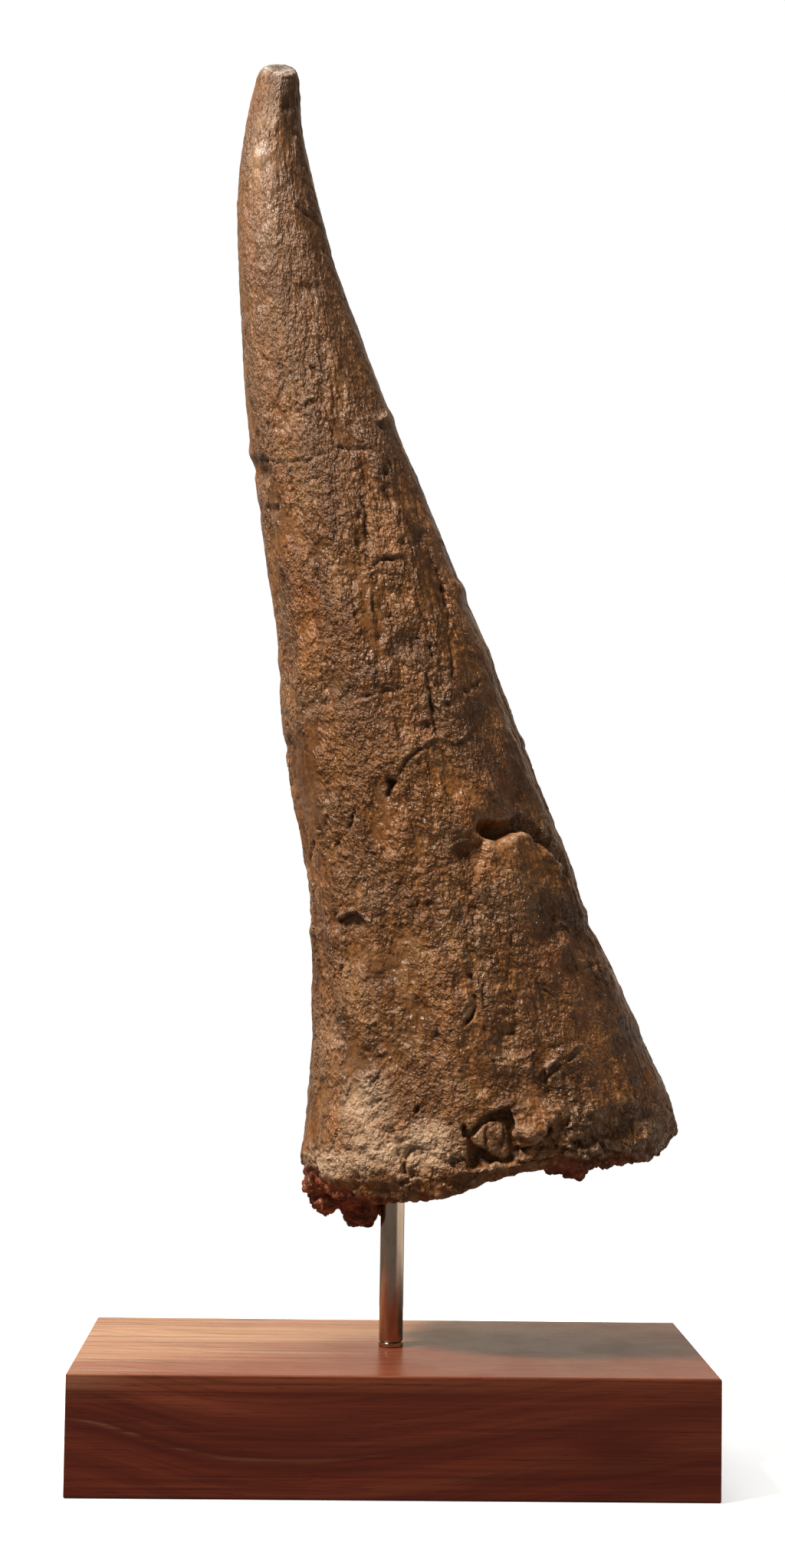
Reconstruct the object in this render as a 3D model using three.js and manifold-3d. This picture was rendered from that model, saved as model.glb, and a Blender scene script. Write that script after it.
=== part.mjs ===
// A fossil brow horn on a steel rod that stands in a hardwood block.
//
// Units are millimetres. +Z is up, +X is to the right as seen from the front, and the front faces -Y.
// The origin is the centre of the block's underside, and the rod stands on the Z axis.

import * as THREE from "three";
import { mergeVertices } from "three/addons/utils/BufferGeometryUtils.js";
import Module from "manifold-3d";

const wasm = await Module();
wasm.setup();

// Driving dimensions of the block, rod and washer
const CLEARANCE = 0.3; // left between the rod and everything that it passes through
const BLOCK = { width: 406.4, depth: 203.2, height: 76.2, easedEdge: 1.2 };
const WASHER = { diameter: 16.4, thickness: 2.9, bevel: 0.5 };
const ROD = { diameter: 15.9, bevel: 0.9, top: 296, spigotDiameter: 10, spigotInBlock: 42, sides: 32 };

// Outline of the horn. Each pair is a height and the value there, and the heights rise.
const LEFT_EDGE = [
  [185, -63], [200, -61.5], [225, -59], [285, -55.7], [350, -56.5], [390, -60], [430, -69], [480, -78],
  [540, -82.3], [605, -91.5], [675, -103], [760, -111], [830, -114.8], [870, -114], [910, -109], [927, -105],
];
const RIGHT_EDGE = [
  [205, 186], [222, 188], [248, 180.5], [280, 164.5], [320, 148], [360, 129], [400, 115.5], [440, 97.8],
  [500, 73.5], [545, 55], [605, 30.5], [650, 12], [710, -13.5], [752, -30], [795, -46.5], [840, -59],
  [880, -69], [905, -73], [927, -74.3],
];
const HALF_DEPTH = [
  [200, 88], [300, 80], [400, 74], [500, 65], [600, 56], [700, 45], [800, 33], [880, 23], [927, 16.5],
];
const CENTRE_DEPTH = [[200, 0], [400, -5], [600, -7], [800, 1], [927, 7]];

// The broken base. Each pair is a place along X and the height there.
const RIM_HEIGHT = [[-63, 199], [-52, 193], [-5, 192], [40, 198], [80, 206], [146, 213], [188, 220]];
const UNDERSIDE_HEIGHT = [
  [-63, 181], [-40, 178], [0, 178], [40, 187], [80, 198], [146, 203.5], [188, 205.5],
];
const BASE = { middle: [56, 0], length: 224, depth: 156, roughness: 3.5, patch: 14, scatteredLumps: 9 };

// Rings of the underside: how far out each one lies, from the middle to the rim, and its number of points
const BASE_RINGS = [[0.25, 16], [0.5, 32], [0.72, 48], [0.86, 72], [0.93, 72], [0.965, 72]];
const RIM_TURNS_UP_AT = 0.92; // where the underside starts to turn up to the rim, as a share of the way out

// Lumps of spongy bone that hang from the break: middle, half-sizes and how finely they are faceted
const HANGING_LUMPS = [
  { middle: [-22, 6, 168], half: [13.5, 17, 15.5], detail: 2 },
  { middle: [-45, 2, 174], half: [10.5, 15, 12], detail: 2 },
  { middle: [-30, 9, 179], half: [20, 23, 11], detail: 1 },
  { middle: [-53, -5, 183], half: [7, 9, 7.5], detail: 1 },
  { middle: [-8, 19, 172], half: [12, 13, 10], detail: 1 },
  { middle: [117, -22, 199], half: [11.5, 13, 10], detail: 1 },
  { middle: [104, -16, 198], half: [8, 11, 6], detail: 1 },
];

const TIP = { shoulder: 927, height: 943.5, topCentre: [-87.5, 8] };
const TIP_ROWS = [0, 0.4, 0.75]; // rows above the shoulder, as shares of the rise to the top
const WORN_FACET = { point: [-86, 2.5, 937], normal: [0.05, -0.62, 0.78] }; // the worn place at the tip
const SIDE_LEAN = 0.8; // how much less the skin's outward direction leans to the sides than to the front

// How finely the horn's skin is divided: columns round it up to a height, and the height of a row there.
const SKIN = [
  { below: 262, columns: 72, row: 7.5 },
  { below: 440, columns: 64, row: 9.5 },
  { below: 640, columns: 48, row: 14 },
  { below: 1000, columns: 32, row: 16 },
];

// Value between the two nearest pairs of a list, along a smooth curve through them.
function along(pairs, at) {
  const last = pairs.length - 1;
  const t = THREE.MathUtils.clamp(at, pairs[0][0], pairs[last][0]);
  let i = pairs.findIndex(([key]) => key > t) - 1;
  if (i < 0) i = last - 1;
  const [p0, p1, p2, p3] = [i - 1, i, i + 1, i + 2].map((n) => pairs[THREE.MathUtils.clamp(n, 0, last)]);
  const span = p2[0] - p1[0];
  const startSlope = p2[0] > p0[0] ? ((p2[1] - p0[1]) / (p2[0] - p0[0])) * span : 0;
  const endSlope = p3[0] > p1[0] ? ((p3[1] - p1[1]) / (p3[0] - p1[0])) * span : 0;
  const u = (t - p1[0]) / span;
  const start = p1[1] * (1 + 2 * u) * (1 - u) ** 2 + startSlope * u * (1 - u) ** 2;
  return start + p2[1] * u * u * (3 - 2 * u) - endSlope * u * u * (1 - u);
}

// A repeatable number from 0 to 1 for three whole numbers
function hash(i, j, k) {
  let h = Math.imul(i, 374761393) + Math.imul(j, 668265263) + Math.imul(k, 1440662683);
  h = Math.imul(h ^ (h >>> 13), 1274126177);
  return ((h ^ (h >>> 16)) >>> 0) / 4294967295;
}

// Smooth noise from -1 to 1 whose lumps are about one unit across
function noise(x, y, z) {
  const cell = [x, y, z].map(Math.floor);
  const [u, v, w] = [x - cell[0], y - cell[1], z - cell[2]].map((t) => t * t * (3 - 2 * t));
  let sum = 0;
  for (let corner = 0; corner < 8; corner++) {
    const [a, b, c] = [corner & 1, (corner >> 1) & 1, (corner >> 2) & 1];
    const weight = (a ? u : 1 - u) * (b ? v : 1 - v) * (c ? w : 1 - w);
    sum += weight * hash(cell[0] + a, cell[1] + b, cell[2] + c);
  }
  return 2 * sum - 1;
}

const { lerp, smoothstep } = THREE.MathUtils;

// Hollows and swellings on the horn's front: place, half-widths and height, which is negative for a hollow
const FRONT_MARKS = [
  { x: 58, z: 219, halfX: 15, halfZ: 20, height: -13 }, // pocket where a piece has broken out of the rim
  { x: 63, z: 212, halfX: 7, halfZ: 9, height: 5 }, // block left standing in the pocket
  { x: 88, z: 231, halfX: 14, halfZ: 11, height: 4.5 }, // swelling right of the pocket
  { x: 92, z: 214, halfX: 15, halfZ: 5, height: -5 }, // step under the swelling
  { x: 12, z: 204, halfX: 7, halfZ: 12, height: -4 }, // chipped rim
  { x: -7, z: 446, halfX: 6, halfZ: 11, height: -4.5 },
  { x: -31, z: 356, halfX: 10, halfZ: 5, height: -4.5 },
  { x: -36, z: 416, halfX: 5, halfZ: 12, height: -3 },
  { x: 43, z: 398, halfX: 9, halfZ: 10, height: -4 },
  { x: 101, z: 353, halfX: 7, halfZ: 9, height: -3.5 },
  { x: 76, z: 268, halfX: 26, halfZ: 6, height: 3 },
  { x: -27, z: 604, halfX: 4, halfZ: 34, height: -2.6 },
  { x: -96, z: 655, halfX: 7, halfZ: 8, height: -2.6 },
  { x: 120, z: 232, halfX: 20, halfZ: 10, height: 3 },
  { x: -90, z: 862, halfX: 5, halfZ: 62, height: 1.6 }, // crest that runs up to the tip
  { x: -30, z: 222, halfX: 22, halfZ: 13, height: 2.5 },
  { x: -24, z: 520, halfX: 12, halfZ: 60, height: 1.8 },
  { x: 18, z: 330, halfX: 12, halfZ: 70, height: -2 },
];

// Top edge of the raised plate on the right of the front, under the deep notch
const PLATE_TOP = [
  [40, 378], [50, 399], [60, 409], [70, 414], [82, 415], [92, 408], [103, 396], [113, 383], [126, 362],
];
const PLATE = { raised: 5, fadesOver: 110, notchDepth: 9, notchHeight: 15 };

// Hollows on the back and sides, which the front doesn't show. The angle round the horn is in degrees.
const BACK_MARKS = [
  { angle: 95, z: 236, halfAngle: 11, halfZ: 17, height: -9 },
  { angle: 130, z: 330, halfAngle: 7, halfZ: 26, height: -4 },
  { angle: 62, z: 410, halfAngle: 9, halfZ: 9, height: -5 },
  { angle: 40, z: 300, halfAngle: 8, halfZ: 30, height: 3.5 },
  { angle: 110, z: 520, halfAngle: 8, halfZ: 34, height: -3 },
  { angle: 168, z: 450, halfAngle: 7, halfZ: 20, height: -3 },
  { angle: 75, z: 640, halfAngle: 9, halfZ: 30, height: -2.5 },
];

// How far the raised plate and the notch above it move the front at a place
function plateRelief(x, z) {
  const [start, end] = [PLATE_TOP[0][0], PLATE_TOP[PLATE_TOP.length - 1][0]];
  const inside = smoothstep(x, start - 6, start + 6) * (1 - smoothstep(x, end - 8, end + 8));
  const above = z - along(PLATE_TOP, x);
  const plate = PLATE.raised * (1 - smoothstep(above, -6, 3)) * smoothstep(above, -PLATE.fadesOver, -8);
  const notch = PLATE.notchDepth * smoothstep(above, -4, 4) * (1 - smoothstep(above, 4, PLATE.notchHeight));
  return inside * (plate - notch);
}

// A smooth mark that is strongest at its middle
function bell(acrossShare, alongShare) {
  return Math.exp(-(acrossShare ** 2) - alongShare ** 2);
}

// Distance in degrees from one direction round the horn to another, from -180 to 180
function turn(from, to) {
  return THREE.MathUtils.euclideanModulo(to - from + 180, 360) - 180;
}

// How far the horn's skin stands out from its smooth form: flutes, weathered lumps and the marks
function relief(point, angle) {
  const { x, y, z } = point;
  const slender = THREE.MathUtils.clamp((TIP.height - z) / 500, 0.25, 1);
  const broad = slender * (0.8 + 0.8 * Math.abs(Math.sin(angle)));
  const flutes = 0.8 * Math.sin(9 * angle + 2.5 * noise(x / 90, y / 90, z / 160)) * broad;
  const lumps = 1.5 * noise(x / 46, y / 46, z / 60) * broad + 0.9 * noise(x / 17, y / 17, z / 22) * broad;
  const facing = smoothstep(-Math.sin(angle), 0.02, 0.3);
  const front = FRONT_MARKS.reduce(
    (sum, m) => sum + m.height * bell((x - m.x) / m.halfX, (z - m.z) / m.halfZ),
    0,
  );
  const degrees = THREE.MathUtils.radToDeg(angle);
  const back = BACK_MARKS.reduce(
    (sum, m) => sum + m.height * bell(turn(m.angle, degrees) / m.halfAngle, (z - m.z) / m.halfZ),
    0,
  );
  return flutes + lumps + facing * (front + plateRelief(x, z)) + back;
}

// A point of the horn's smooth form at a height and an angle round it, which is 0 towards +X
function formPoint(angle, z) {
  const [left, right] = [along(LEFT_EDGE, z), along(RIGHT_EDGE, z)];
  const x = (left + right) / 2 + ((right - left) / 2) * Math.cos(angle);
  return new THREE.Vector3(x, along(CENTRE_DEPTH, z) + along(HALF_DEPTH, z) * Math.sin(angle), z);
}

// A point of the horn's skin, moved out of the smooth form by the relief
function skinPoint(angle, z) {
  const point = formPoint(angle, z);
  const outward = new THREE.Vector3(SIDE_LEAN * Math.cos(angle), Math.sin(angle), 0).normalize();
  return point.addScaledVector(outward, relief(point, angle));
}

// The height of the rim at an angle
function rimHeight(angle) {
  const nearRim = RIM_HEIGHT[RIM_HEIGHT.length - 1][1];
  return along(RIM_HEIGHT, formPoint(angle, nearRim).x);
}

// Evenly spaced angles round the horn
function angles(count) {
  return Array.from({ length: count }, (_, i) => (2 * Math.PI * i) / count);
}

// A point of the broken underside, some share of the way from its middle out to the rim
function undersidePoint(angle, share) {
  const rim = skinPoint(angle, rimHeight(angle));
  const point = rim.clone().lerp(new THREE.Vector3(...BASE.middle, 0), 1 - share);
  const rough = BASE.roughness * noise(point.x / BASE.patch, point.y / BASE.patch, 0.5);
  const floor = along(UNDERSIDE_HEIGHT, point.x) + rough;
  point.z = lerp(floor, rim.z, smoothstep(share, RIM_TURNS_UP_AT, 1));
  return point;
}

// Rings of points up the horn's skin, from the rim to just under the tip's shoulder
function skinRings() {
  const rings = [];
  const lowest = along(RIM_HEIGHT, BASE.middle[0]);
  let height = lowest;
  while (height < TIP.shoulder) {
    const { columns, row } = SKIN.find(({ below }) => height < below);
    const share = (height - lowest) / (TIP.shoulder - lowest);
    rings.push(angles(columns).map((angle) => skinPoint(angle, lerp(rimHeight(angle), TIP.shoulder, share))));
    height += row;
  }
  return rings;
}

// Rings of points that round off the tip
function tipRings() {
  const shoulder = angles(SKIN[SKIN.length - 1].columns).map((angle) => skinPoint(angle, TIP.shoulder));
  const top = new THREE.Vector3(...TIP.topCentre, TIP.height);
  return TIP_ROWS.map((rise) =>
    shoulder.map((point) => {
      const raised = point.clone().lerp(top, 1 - Math.sqrt(1 - rise ** 2));
      raised.z = lerp(TIP.shoulder, TIP.height, rise);
      return raised;
    }),
  );
}

// Rings of points from the middle of the underside, round the rim and up to the tip
function hornRings() {
  const underside = BASE_RINGS.map(([share, count]) =>
    angles(count).map((angle) => undersidePoint(angle, share)),
  );
  return [...underside, ...skinRings(), ...tipRings()];
}

// Triangles between two rings of points that may differ in number
function stitch(lower, upper, lowerStart, upperStart) {
  const triangles = [];
  let [i, j] = [0, 0];
  while (i < lower.length || j < upper.length) {
    const a = lowerStart + (i % lower.length);
    const b = upperStart + (j % upper.length);
    if (j >= upper.length || (i < lower.length && (i + 1) / lower.length <= (j + 1) / upper.length)) {
      triangles.push([a, lowerStart + ((i + 1) % lower.length), b]);
      i++;
    } else {
      triangles.push([a, upperStart + ((j + 1) % upper.length), b]);
      j++;
    }
  }
  return triangles;
}

// A solid from rings of points, closed at both ends by a point in the middle of the end ring
function solidFromRings(rings) {
  const total = (ring) => ring.reduce((sum, point) => sum.add(point), new THREE.Vector3());
  const middle = (ring) => total(ring).divideScalar(ring.length);
  const all = [[middle(rings[0])], ...rings, [middle(rings[rings.length - 1])]];
  const starts = [0];
  for (const ring of all) starts.push(starts[starts.length - 1] + ring.length);
  const triangles = [];
  for (let n = 0; n + 1 < all.length; n++) {
    const made = stitch(all[n], all[n + 1], starts[n], starts[n + 1]);
    triangles.push(...made.filter((t) => new Set(t).size === 3));
  }
  const vertProperties = new Float32Array(all.flat().flatMap((p) => [p.x, p.y, p.z]));
  const triVerts = new Uint32Array(triangles.flat());
  return new wasm.Manifold(new wasm.Mesh({ numProp: 3, vertProperties, triVerts }));
}

// A solid for cutting and joining, from a three.js geometry
function solid(geometry) {
  const bare = new THREE.BufferGeometry();
  bare.setAttribute("position", geometry.getAttribute("position").clone());
  if (geometry.index) bare.setIndex(geometry.index);
  const merged = mergeVertices(bare, 1e-4);
  const vertProperties = merged.attributes.position.array;
  const triVerts = new Uint32Array(merged.index.array);
  return new wasm.Manifold(new wasm.Mesh({ numProp: 3, vertProperties, triVerts }));
}

// A three.js geometry from a solid
function geometryOf(made) {
  const { vertProperties, triVerts } = made.getMesh();
  const geometry = new THREE.BufferGeometry();
  geometry.setAttribute("position", new THREE.BufferAttribute(new Float32Array(vertProperties), 3));
  geometry.setIndex(new THREE.BufferAttribute(new Uint32Array(triVerts), 1));
  const flat = geometry.toNonIndexed();
  flat.computeVertexNormals();
  return flat;
}

// An upright cylinder on the Z axis
function uprightCylinder(radius, bottom, top) {
  const geometry = new THREE.CylinderGeometry(radius, radius, top - bottom, ROD.sides);
  return solid(geometry.rotateX(Math.PI / 2).translate(0, 0, (top + bottom) / 2));
}

// A turned solid on the Z axis. Each pair of the profile is a radius and a height.
function turned(profile) {
  const points = profile.map(([radius, height]) => new THREE.Vector2(radius, height));
  return new THREE.LatheGeometry(points, ROD.sides).rotateX(Math.PI / 2);
}

// A rough lump of broken bone
function lump({ middle: [x, y, z], half: [halfX, halfY, halfZ], detail }) {
  const geometry = new THREE.IcosahedronGeometry(1, detail);
  const position = geometry.getAttribute("position");
  const point = new THREE.Vector3();
  for (let i = 0; i < position.count; i++) {
    point.fromBufferAttribute(position, i);
    point.multiplyScalar(1 + 0.2 * noise(2.1 * point.x + x, 2.1 * point.y + y, 2.1 * point.z + z));
    position.setXYZ(i, x + halfX * point.x, y + halfY * point.y, z + halfZ * point.z);
  }
  return solid(geometry);
}

// Low lumps spread over the underside in a spiral, each one a golden angle on from the last
function scatteredLumps() {
  const goldenAngle = Math.PI * (3 - Math.sqrt(5));
  return Array.from({ length: BASE.scatteredLumps }, (_, n) => {
    const reach = 0.28 + 0.5 * Math.sqrt((n + 1) / BASE.scatteredLumps);
    const x = BASE.middle[0] + (BASE.length / 2) * reach * Math.cos(n * goldenAngle);
    const y = BASE.middle[1] + (BASE.depth / 2) * reach * Math.sin(n * goldenAngle);
    const size = 8 + 5 * hash(n, 3, 5);
    const middle = [x, y, along(UNDERSIDE_HEIGHT, x) + 2];
    return { middle, half: [size * 1.3, size, size * 0.7], detail: 1 };
  });
}

// The flat, worn place that faces forward at the tip, as the solid that it cuts away
function wornFacetCut() {
  const size = 60; // larger than the tip
  const turnUp = new THREE.Quaternion().setFromUnitVectors(
    new THREE.Vector3(0, 0, 1),
    new THREE.Vector3(...WORN_FACET.normal).normalize(),
  );
  const box = new THREE.BoxGeometry(size, size, size).translate(0, 0, size / 2);
  return solid(box.applyQuaternion(turnUp).translate(...WORN_FACET.point));
}

function hornGeometry() {
  let horn = solidFromRings(hornRings());
  for (const shape of [...HANGING_LUMPS, ...scatteredLumps()]) horn = horn.add(lump(shape));
  const bore = uprightCylinder(ROD.diameter / 2 + CLEARANCE, BLOCK.height, ROD.top + CLEARANCE);
  return geometryOf(horn.subtract(wornFacetCut()).subtract(bore));
}

function blockGeometry() {
  const { width, depth, height, easedEdge: edge } = BLOCK;
  const [halfX, halfY] = [width / 2 - edge, depth / 2 - edge];
  const corners = [[-halfX, -halfY], [halfX, -halfY], [halfX, halfY], [-halfX, halfY]];
  const outline = new THREE.Shape(corners.map(([x, y]) => new THREE.Vector2(x, y)));
  const body = new THREE.ExtrudeGeometry(outline, {
    depth: height - 2 * edge,
    bevelThickness: edge,
    bevelSize: edge,
    bevelSegments: 3,
  });
  const holeBottom = height - ROD.spigotInBlock - CLEARANCE;
  const hole = uprightCylinder(ROD.spigotDiameter / 2 + CLEARANCE, holeBottom, height + edge);
  return geometryOf(solid(body.translate(0, 0, edge)).subtract(hole));
}

function washerGeometry() {
  const [inner, outer] = [ROD.spigotDiameter / 2 + CLEARANCE, WASHER.diameter / 2];
  const bottom = BLOCK.height + CLEARANCE;
  const top = bottom + WASHER.thickness;
  return turned([
    [inner, bottom],
    [outer, bottom],
    [outer, top - WASHER.bevel],
    [outer - WASHER.bevel, top],
    [inner, top],
    [inner, bottom],
  ]);
}

function rodGeometry() {
  const [radius, spigot] = [ROD.diameter / 2, ROD.spigotDiameter / 2];
  const shoulder = BLOCK.height + WASHER.thickness + 2 * CLEARANCE;
  return turned([
    [0, BLOCK.height - ROD.spigotInBlock],
    [spigot, BLOCK.height - ROD.spigotInBlock],
    [spigot, shoulder],
    [radius - ROD.bevel, shoulder],
    [radius, shoulder + ROD.bevel],
    [radius, ROD.top - ROD.bevel],
    [radius - ROD.bevel, ROD.top],
    [0, ROD.top],
  ]);
}

const FOSSIL_BONE = new THREE.MeshStandardMaterial({ color: 0x6b4a30, roughness: 0.55, metalness: 0 });
const BRUSHED_STEEL = new THREE.MeshStandardMaterial({ color: 0x8c8478, roughness: 0.3, metalness: 1 });
const RED_HARDWOOD = new THREE.MeshStandardMaterial({ color: 0x7a3b28, roughness: 0.4, metalness: 0 });

function piece(name, geometry, material) {
  const mesh = new THREE.Mesh(geometry, material);
  mesh.name = name;
  return mesh;
}

const mountedHorn = new THREE.Group();
mountedHorn.add(
  piece("horn", hornGeometry(), FOSSIL_BONE),
  piece("rod", rodGeometry(), BRUSHED_STEEL),
  piece("washer", washerGeometry(), BRUSHED_STEEL.clone()),
  piece("block", blockGeometry(), RED_HARDWOOD),
);

export default mountedHorn;
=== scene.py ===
"""Dresses the mounted fossil horn: the weathered horn, its steel rod and washer, and its hardwood block.

The horn is a closed loft on the part's own outline. It is joined with the lumps under its break,
remeshed finely, and then carved with flutes, wrinkles, pits, cracks and the ledges of its front.
Shapes are worked out in millimetres and become metres, as the frame is, where a mesh is made.
"""

import math

import bmesh
import bpy
import numpy as np
from mathutils import Matrix, Vector


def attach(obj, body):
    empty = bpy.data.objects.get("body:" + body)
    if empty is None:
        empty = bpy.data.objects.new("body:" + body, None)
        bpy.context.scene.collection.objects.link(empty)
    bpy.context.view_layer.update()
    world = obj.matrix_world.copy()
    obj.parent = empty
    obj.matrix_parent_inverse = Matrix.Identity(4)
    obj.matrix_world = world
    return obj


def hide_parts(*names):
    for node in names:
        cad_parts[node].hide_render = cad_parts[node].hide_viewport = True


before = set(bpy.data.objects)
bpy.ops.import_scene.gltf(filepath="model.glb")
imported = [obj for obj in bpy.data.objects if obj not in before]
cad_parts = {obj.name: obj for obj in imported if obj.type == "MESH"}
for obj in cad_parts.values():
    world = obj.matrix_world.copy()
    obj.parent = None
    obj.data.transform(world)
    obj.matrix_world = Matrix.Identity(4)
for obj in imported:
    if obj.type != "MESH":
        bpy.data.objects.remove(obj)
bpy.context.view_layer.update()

MM = 0.001

# The photograph's frame and the camera that took it
PHOTO_WIDTH = 1024
PHOTO_HEIGHT = 2046
CAMERA_PLACE = (-47.1, -1567.2, 360.4)
CAMERA_YAW = math.radians(1.569)  # to the right
CAMERA_PITCH = math.radians(3.234)  # upward
CAMERA_ROLL = math.radians(0.831)
FOCAL_PIXELS = 3053.0
SENSOR = 36.0

# Outline of the horn, as in the part: pairs of a height and the value there
LEFT_EDGE = (
    (185, -63), (200, -61.5), (225, -59), (285, -55.7), (350, -56.5), (390, -60), (430, -69), (480, -78),
    (540, -82.3), (605, -91.5), (675, -103), (760, -111), (830, -114.8), (870, -114), (910, -109),
    (927, -105),
)
RIGHT_EDGE = (
    (205, 186), (222, 188), (248, 180.5), (280, 164.5), (320, 148), (360, 129), (400, 115.5), (440, 97.8),
    (500, 73.5), (545, 55), (605, 30.5), (650, 12), (710, -13.5), (752, -30), (795, -46.5), (840, -59),
    (880, -69), (905, -73), (927, -74.3),
)
HALF_DEPTH = (
    (200, 88), (300, 80), (400, 74), (500, 65), (600, 56), (700, 45), (800, 33), (880, 23), (927, 16.5),
)
CENTRE_DEPTH = ((200, 0), (400, -5), (600, -7), (800, 1), (927, 7))
RIM_HEIGHT = ((-63, 199), (-52, 193), (-5, 192), (40, 198), (80, 206), (146, 213), (188, 220))
UNDERSIDE_HEIGHT = ((-63, 181), (-40, 178), (0, 178), (40, 187), (80, 198), (146, 203.5), (188, 205.5))
BASE_MIDDLE = (56.0, 0.0)
BASE_LENGTH = 224.0
BASE_DEPTH = 156.0
BASE_ROUGHNESS = 3.5
BASE_PATCH = 14.0
RIM_TURNS_UP_AT = 0.92
TIP_SHOULDER = 927.0
TIP_HEIGHT = 943.5
TIP_TOP = (-87.5, 8.0)
FACET_POINT = (-86.0, 2.5, 937.0)
FACET_NORMAL = (0.05, -0.62, 0.78)
FACET_ROUGHNESS = 0.25
FACET_GRAIN = 2.5
SIDE_LEAN = 0.8

# Lumps of spongy bone that hang from the break, as in the part: middle and half-sizes
HANGING_LUMPS = (
    ((-22, 6, 168), (13.5, 17, 15.5)),
    ((-45, 2, 174), (10.5, 15, 12)),
    ((-30, 9, 179), (20, 23, 11)),
    ((-53, -5, 183), (7, 9, 7.5)),
    ((-8, 19, 172), (12, 13, 10)),
    ((117, -22, 199), (11.5, 13, 10)),
    ((104, -16, 198), (8, 11, 6)),
)
SCATTERED_LUMPS = 9

# Soft hollows and swellings of the front, as in the part: x, z, half-width, half-height and height
FRONT_MARKS = (
    (88, 231, 14, 11, 4.5),
    (92, 214, 15, 5, -5),
    (12, 204, 7, 12, -4),
    (-7, 446, 6, 11, -3),
    (-31, 356, 10, 5, -2.5),
    (-36, 416, 5, 12, -3),
    (43, 398, 9, 10, -4),
    (101, 353, 7, 9, -3.5),
    (76, 268, 26, 6, 3),
    (-27, 604, 4, 34, -2.6),
    (-96, 655, 7, 8, -2.6),
    (120, 232, 20, 10, 3),
    (-90, 862, 5, 62, 1.6),
    (-30, 222, 22, 13, 2.5),
    (-24, 520, 12, 60, 1.8),
    (18, 330, 12, 70, -2),
)

# Hollows of the back and sides, as in the part: angle in degrees, z, half-angle, half-height and height
BACK_MARKS = (
    (95, 236, 11, 17, -9),
    (130, 330, 7, 26, -4),
    (62, 410, 9, 9, -5),
    (40, 300, 8, 30, 3.5),
    (110, 520, 8, 34, -3),
    (168, 450, 7, 20, -3),
    (75, 640, 9, 30, -2.5),
)

# How far the skin hangs down over the broken bone: pairs of x and a length
BARK_HANGS = ((-63, -2), (-45, 0), (-24, 9), (20, 13), (86, 12), (103, 3), (130, 3), (188, 10))

# How finely the horn is meshed, in millimetres and triangles
LOFT_STEP = 3.0
LOFT_COLUMNS = 240
VOXEL = 1.3
MOST_TRIANGLES = 190_000

# What the bone's material reads: the millimetres over which the skin is evened out to tell crests from
# hollows, those in one unit of its flow, and the depth at which a mark's painted shade is darkest
EVENED_OVER = 4.0
FLOW_UNIT = 10.0
DARKEST_DEPTH = 2.6

# The stand, from the part
ROD_RADIUS = 7.95
ROD_BEVEL = 0.9
ROD_TOP = 296.0
BORE_RADIUS = 8.7
BORE_CUT_FROM = 140.0
WASHER_RADIUS = 8.2
WASHER_THICKNESS = 2.9
WASHER_BEVEL = 0.3
CLEARANCE = 0.3
BLOCK_HEIGHT = 76.2
ROUND_SEGMENTS = 96

# Colours, as linear red, green and blue
DARK_BROWN = (0.15, 0.056, 0.016)
MID_BROWN = (0.27, 0.105, 0.028)
GOLDEN_BROWN = (0.355, 0.165, 0.058)
RED_BROWN = (0.3, 0.1, 0.027)
GREY_BROWN = (0.2, 0.102, 0.048)
# A pale brown of paler bone, also laid on crests and lit patches as painted highlight
PALE_BROWN_AND_HIGHLIGHT = (0.62, 0.4, 0.24)
# A near-black brown laid in hollows, cracks and the darker front patches as painted shade
CREVICE_SHADE = (0.045, 0.016, 0.005)
BROKEN_DARK = (0.11, 0.024, 0.008)
BROKEN_RED = (0.4, 0.11, 0.04)
GRIT = (0.42, 0.33, 0.22)
WORN_DARK = (0.19, 0.125, 0.085)
WORN_PALE = (0.5, 0.4, 0.32)
# The steel's warm browns paint in the reflections of the wood and bone round it
STEEL_DARK = (0.42, 0.29, 0.2)
STEEL_PALE = (0.6, 0.45, 0.33)
WOOD_DARK = (0.085, 0.015, 0.008)
WOOD_RED = (0.225, 0.038, 0.018)
WOOD_PALE = (0.31, 0.085, 0.035)
# Tan of paler wood; on the top face it also serves as painted light on the lit top
WOOD_TAN = (0.55, 0.285, 0.15)
WOOD_PORE = (0.04, 0.009, 0.006)
BONE_GLOSS_IOR = 1.42
VARNISH_IOR = 1.32

# The faint knot on the block's front, in metres: its place and half-sizes
KNOT_X = 0.142
KNOT_Z = 0.03
KNOT_HALF_X = 0.03
KNOT_HALF_Z = 0.014
# The one pale ring on the front, and the height over which the top face grows paler and tan, partly paler
# wood and partly painted light on the lit top, in metres
PALE_RING = -0.022
TOP_BEGINS = 0.06
TOP_FULL = 0.075

# Lights: name, degrees to the left of the front, elevation, distance and size in metres, watts and colour
SOFTBOXES = (
    ("key", 58, 50, 3.6, 0.6, 0.6, 214, (1.0, 0.97, 0.92)),
    ("overhead", 120, 80, 3.4, 2.2, 2.2, 70, (1.0, 0.97, 0.93)),
    ("card", -90, -17, 2.2, 4.2, 0.7, 9, (1.0, 0.99, 0.95)),
)
LIGHTS_AIM = (0.0, 0.0, 0.45)
FLOOR_RADIUS = 0.62
FLOOR_GAP = 0.0003
# How pale the floor is to the camera and to the light that it throws back, and its share of the white glow
FLOOR_SHOWN = 0.8
FLOOR_BOUNCED = 0.1
FLOOR_GLOW = 0.62
# Brightness of the studio round the horn: everywhere, low down, and on a pale backdrop behind it
WHITE = (1.0, 1.0, 1.0)
ROOM_BRIGHTNESS = 0.1
GROUND_BRIGHTNESS = 0.2
BACKDROP = (0.7, 0.57, 0.45)
BACKDROP_TOWARD = (0.0, 1.0, 0.12)
BACKDROP_STARTS = 0.72
BACKDROP_FULL = 0.9

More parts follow.
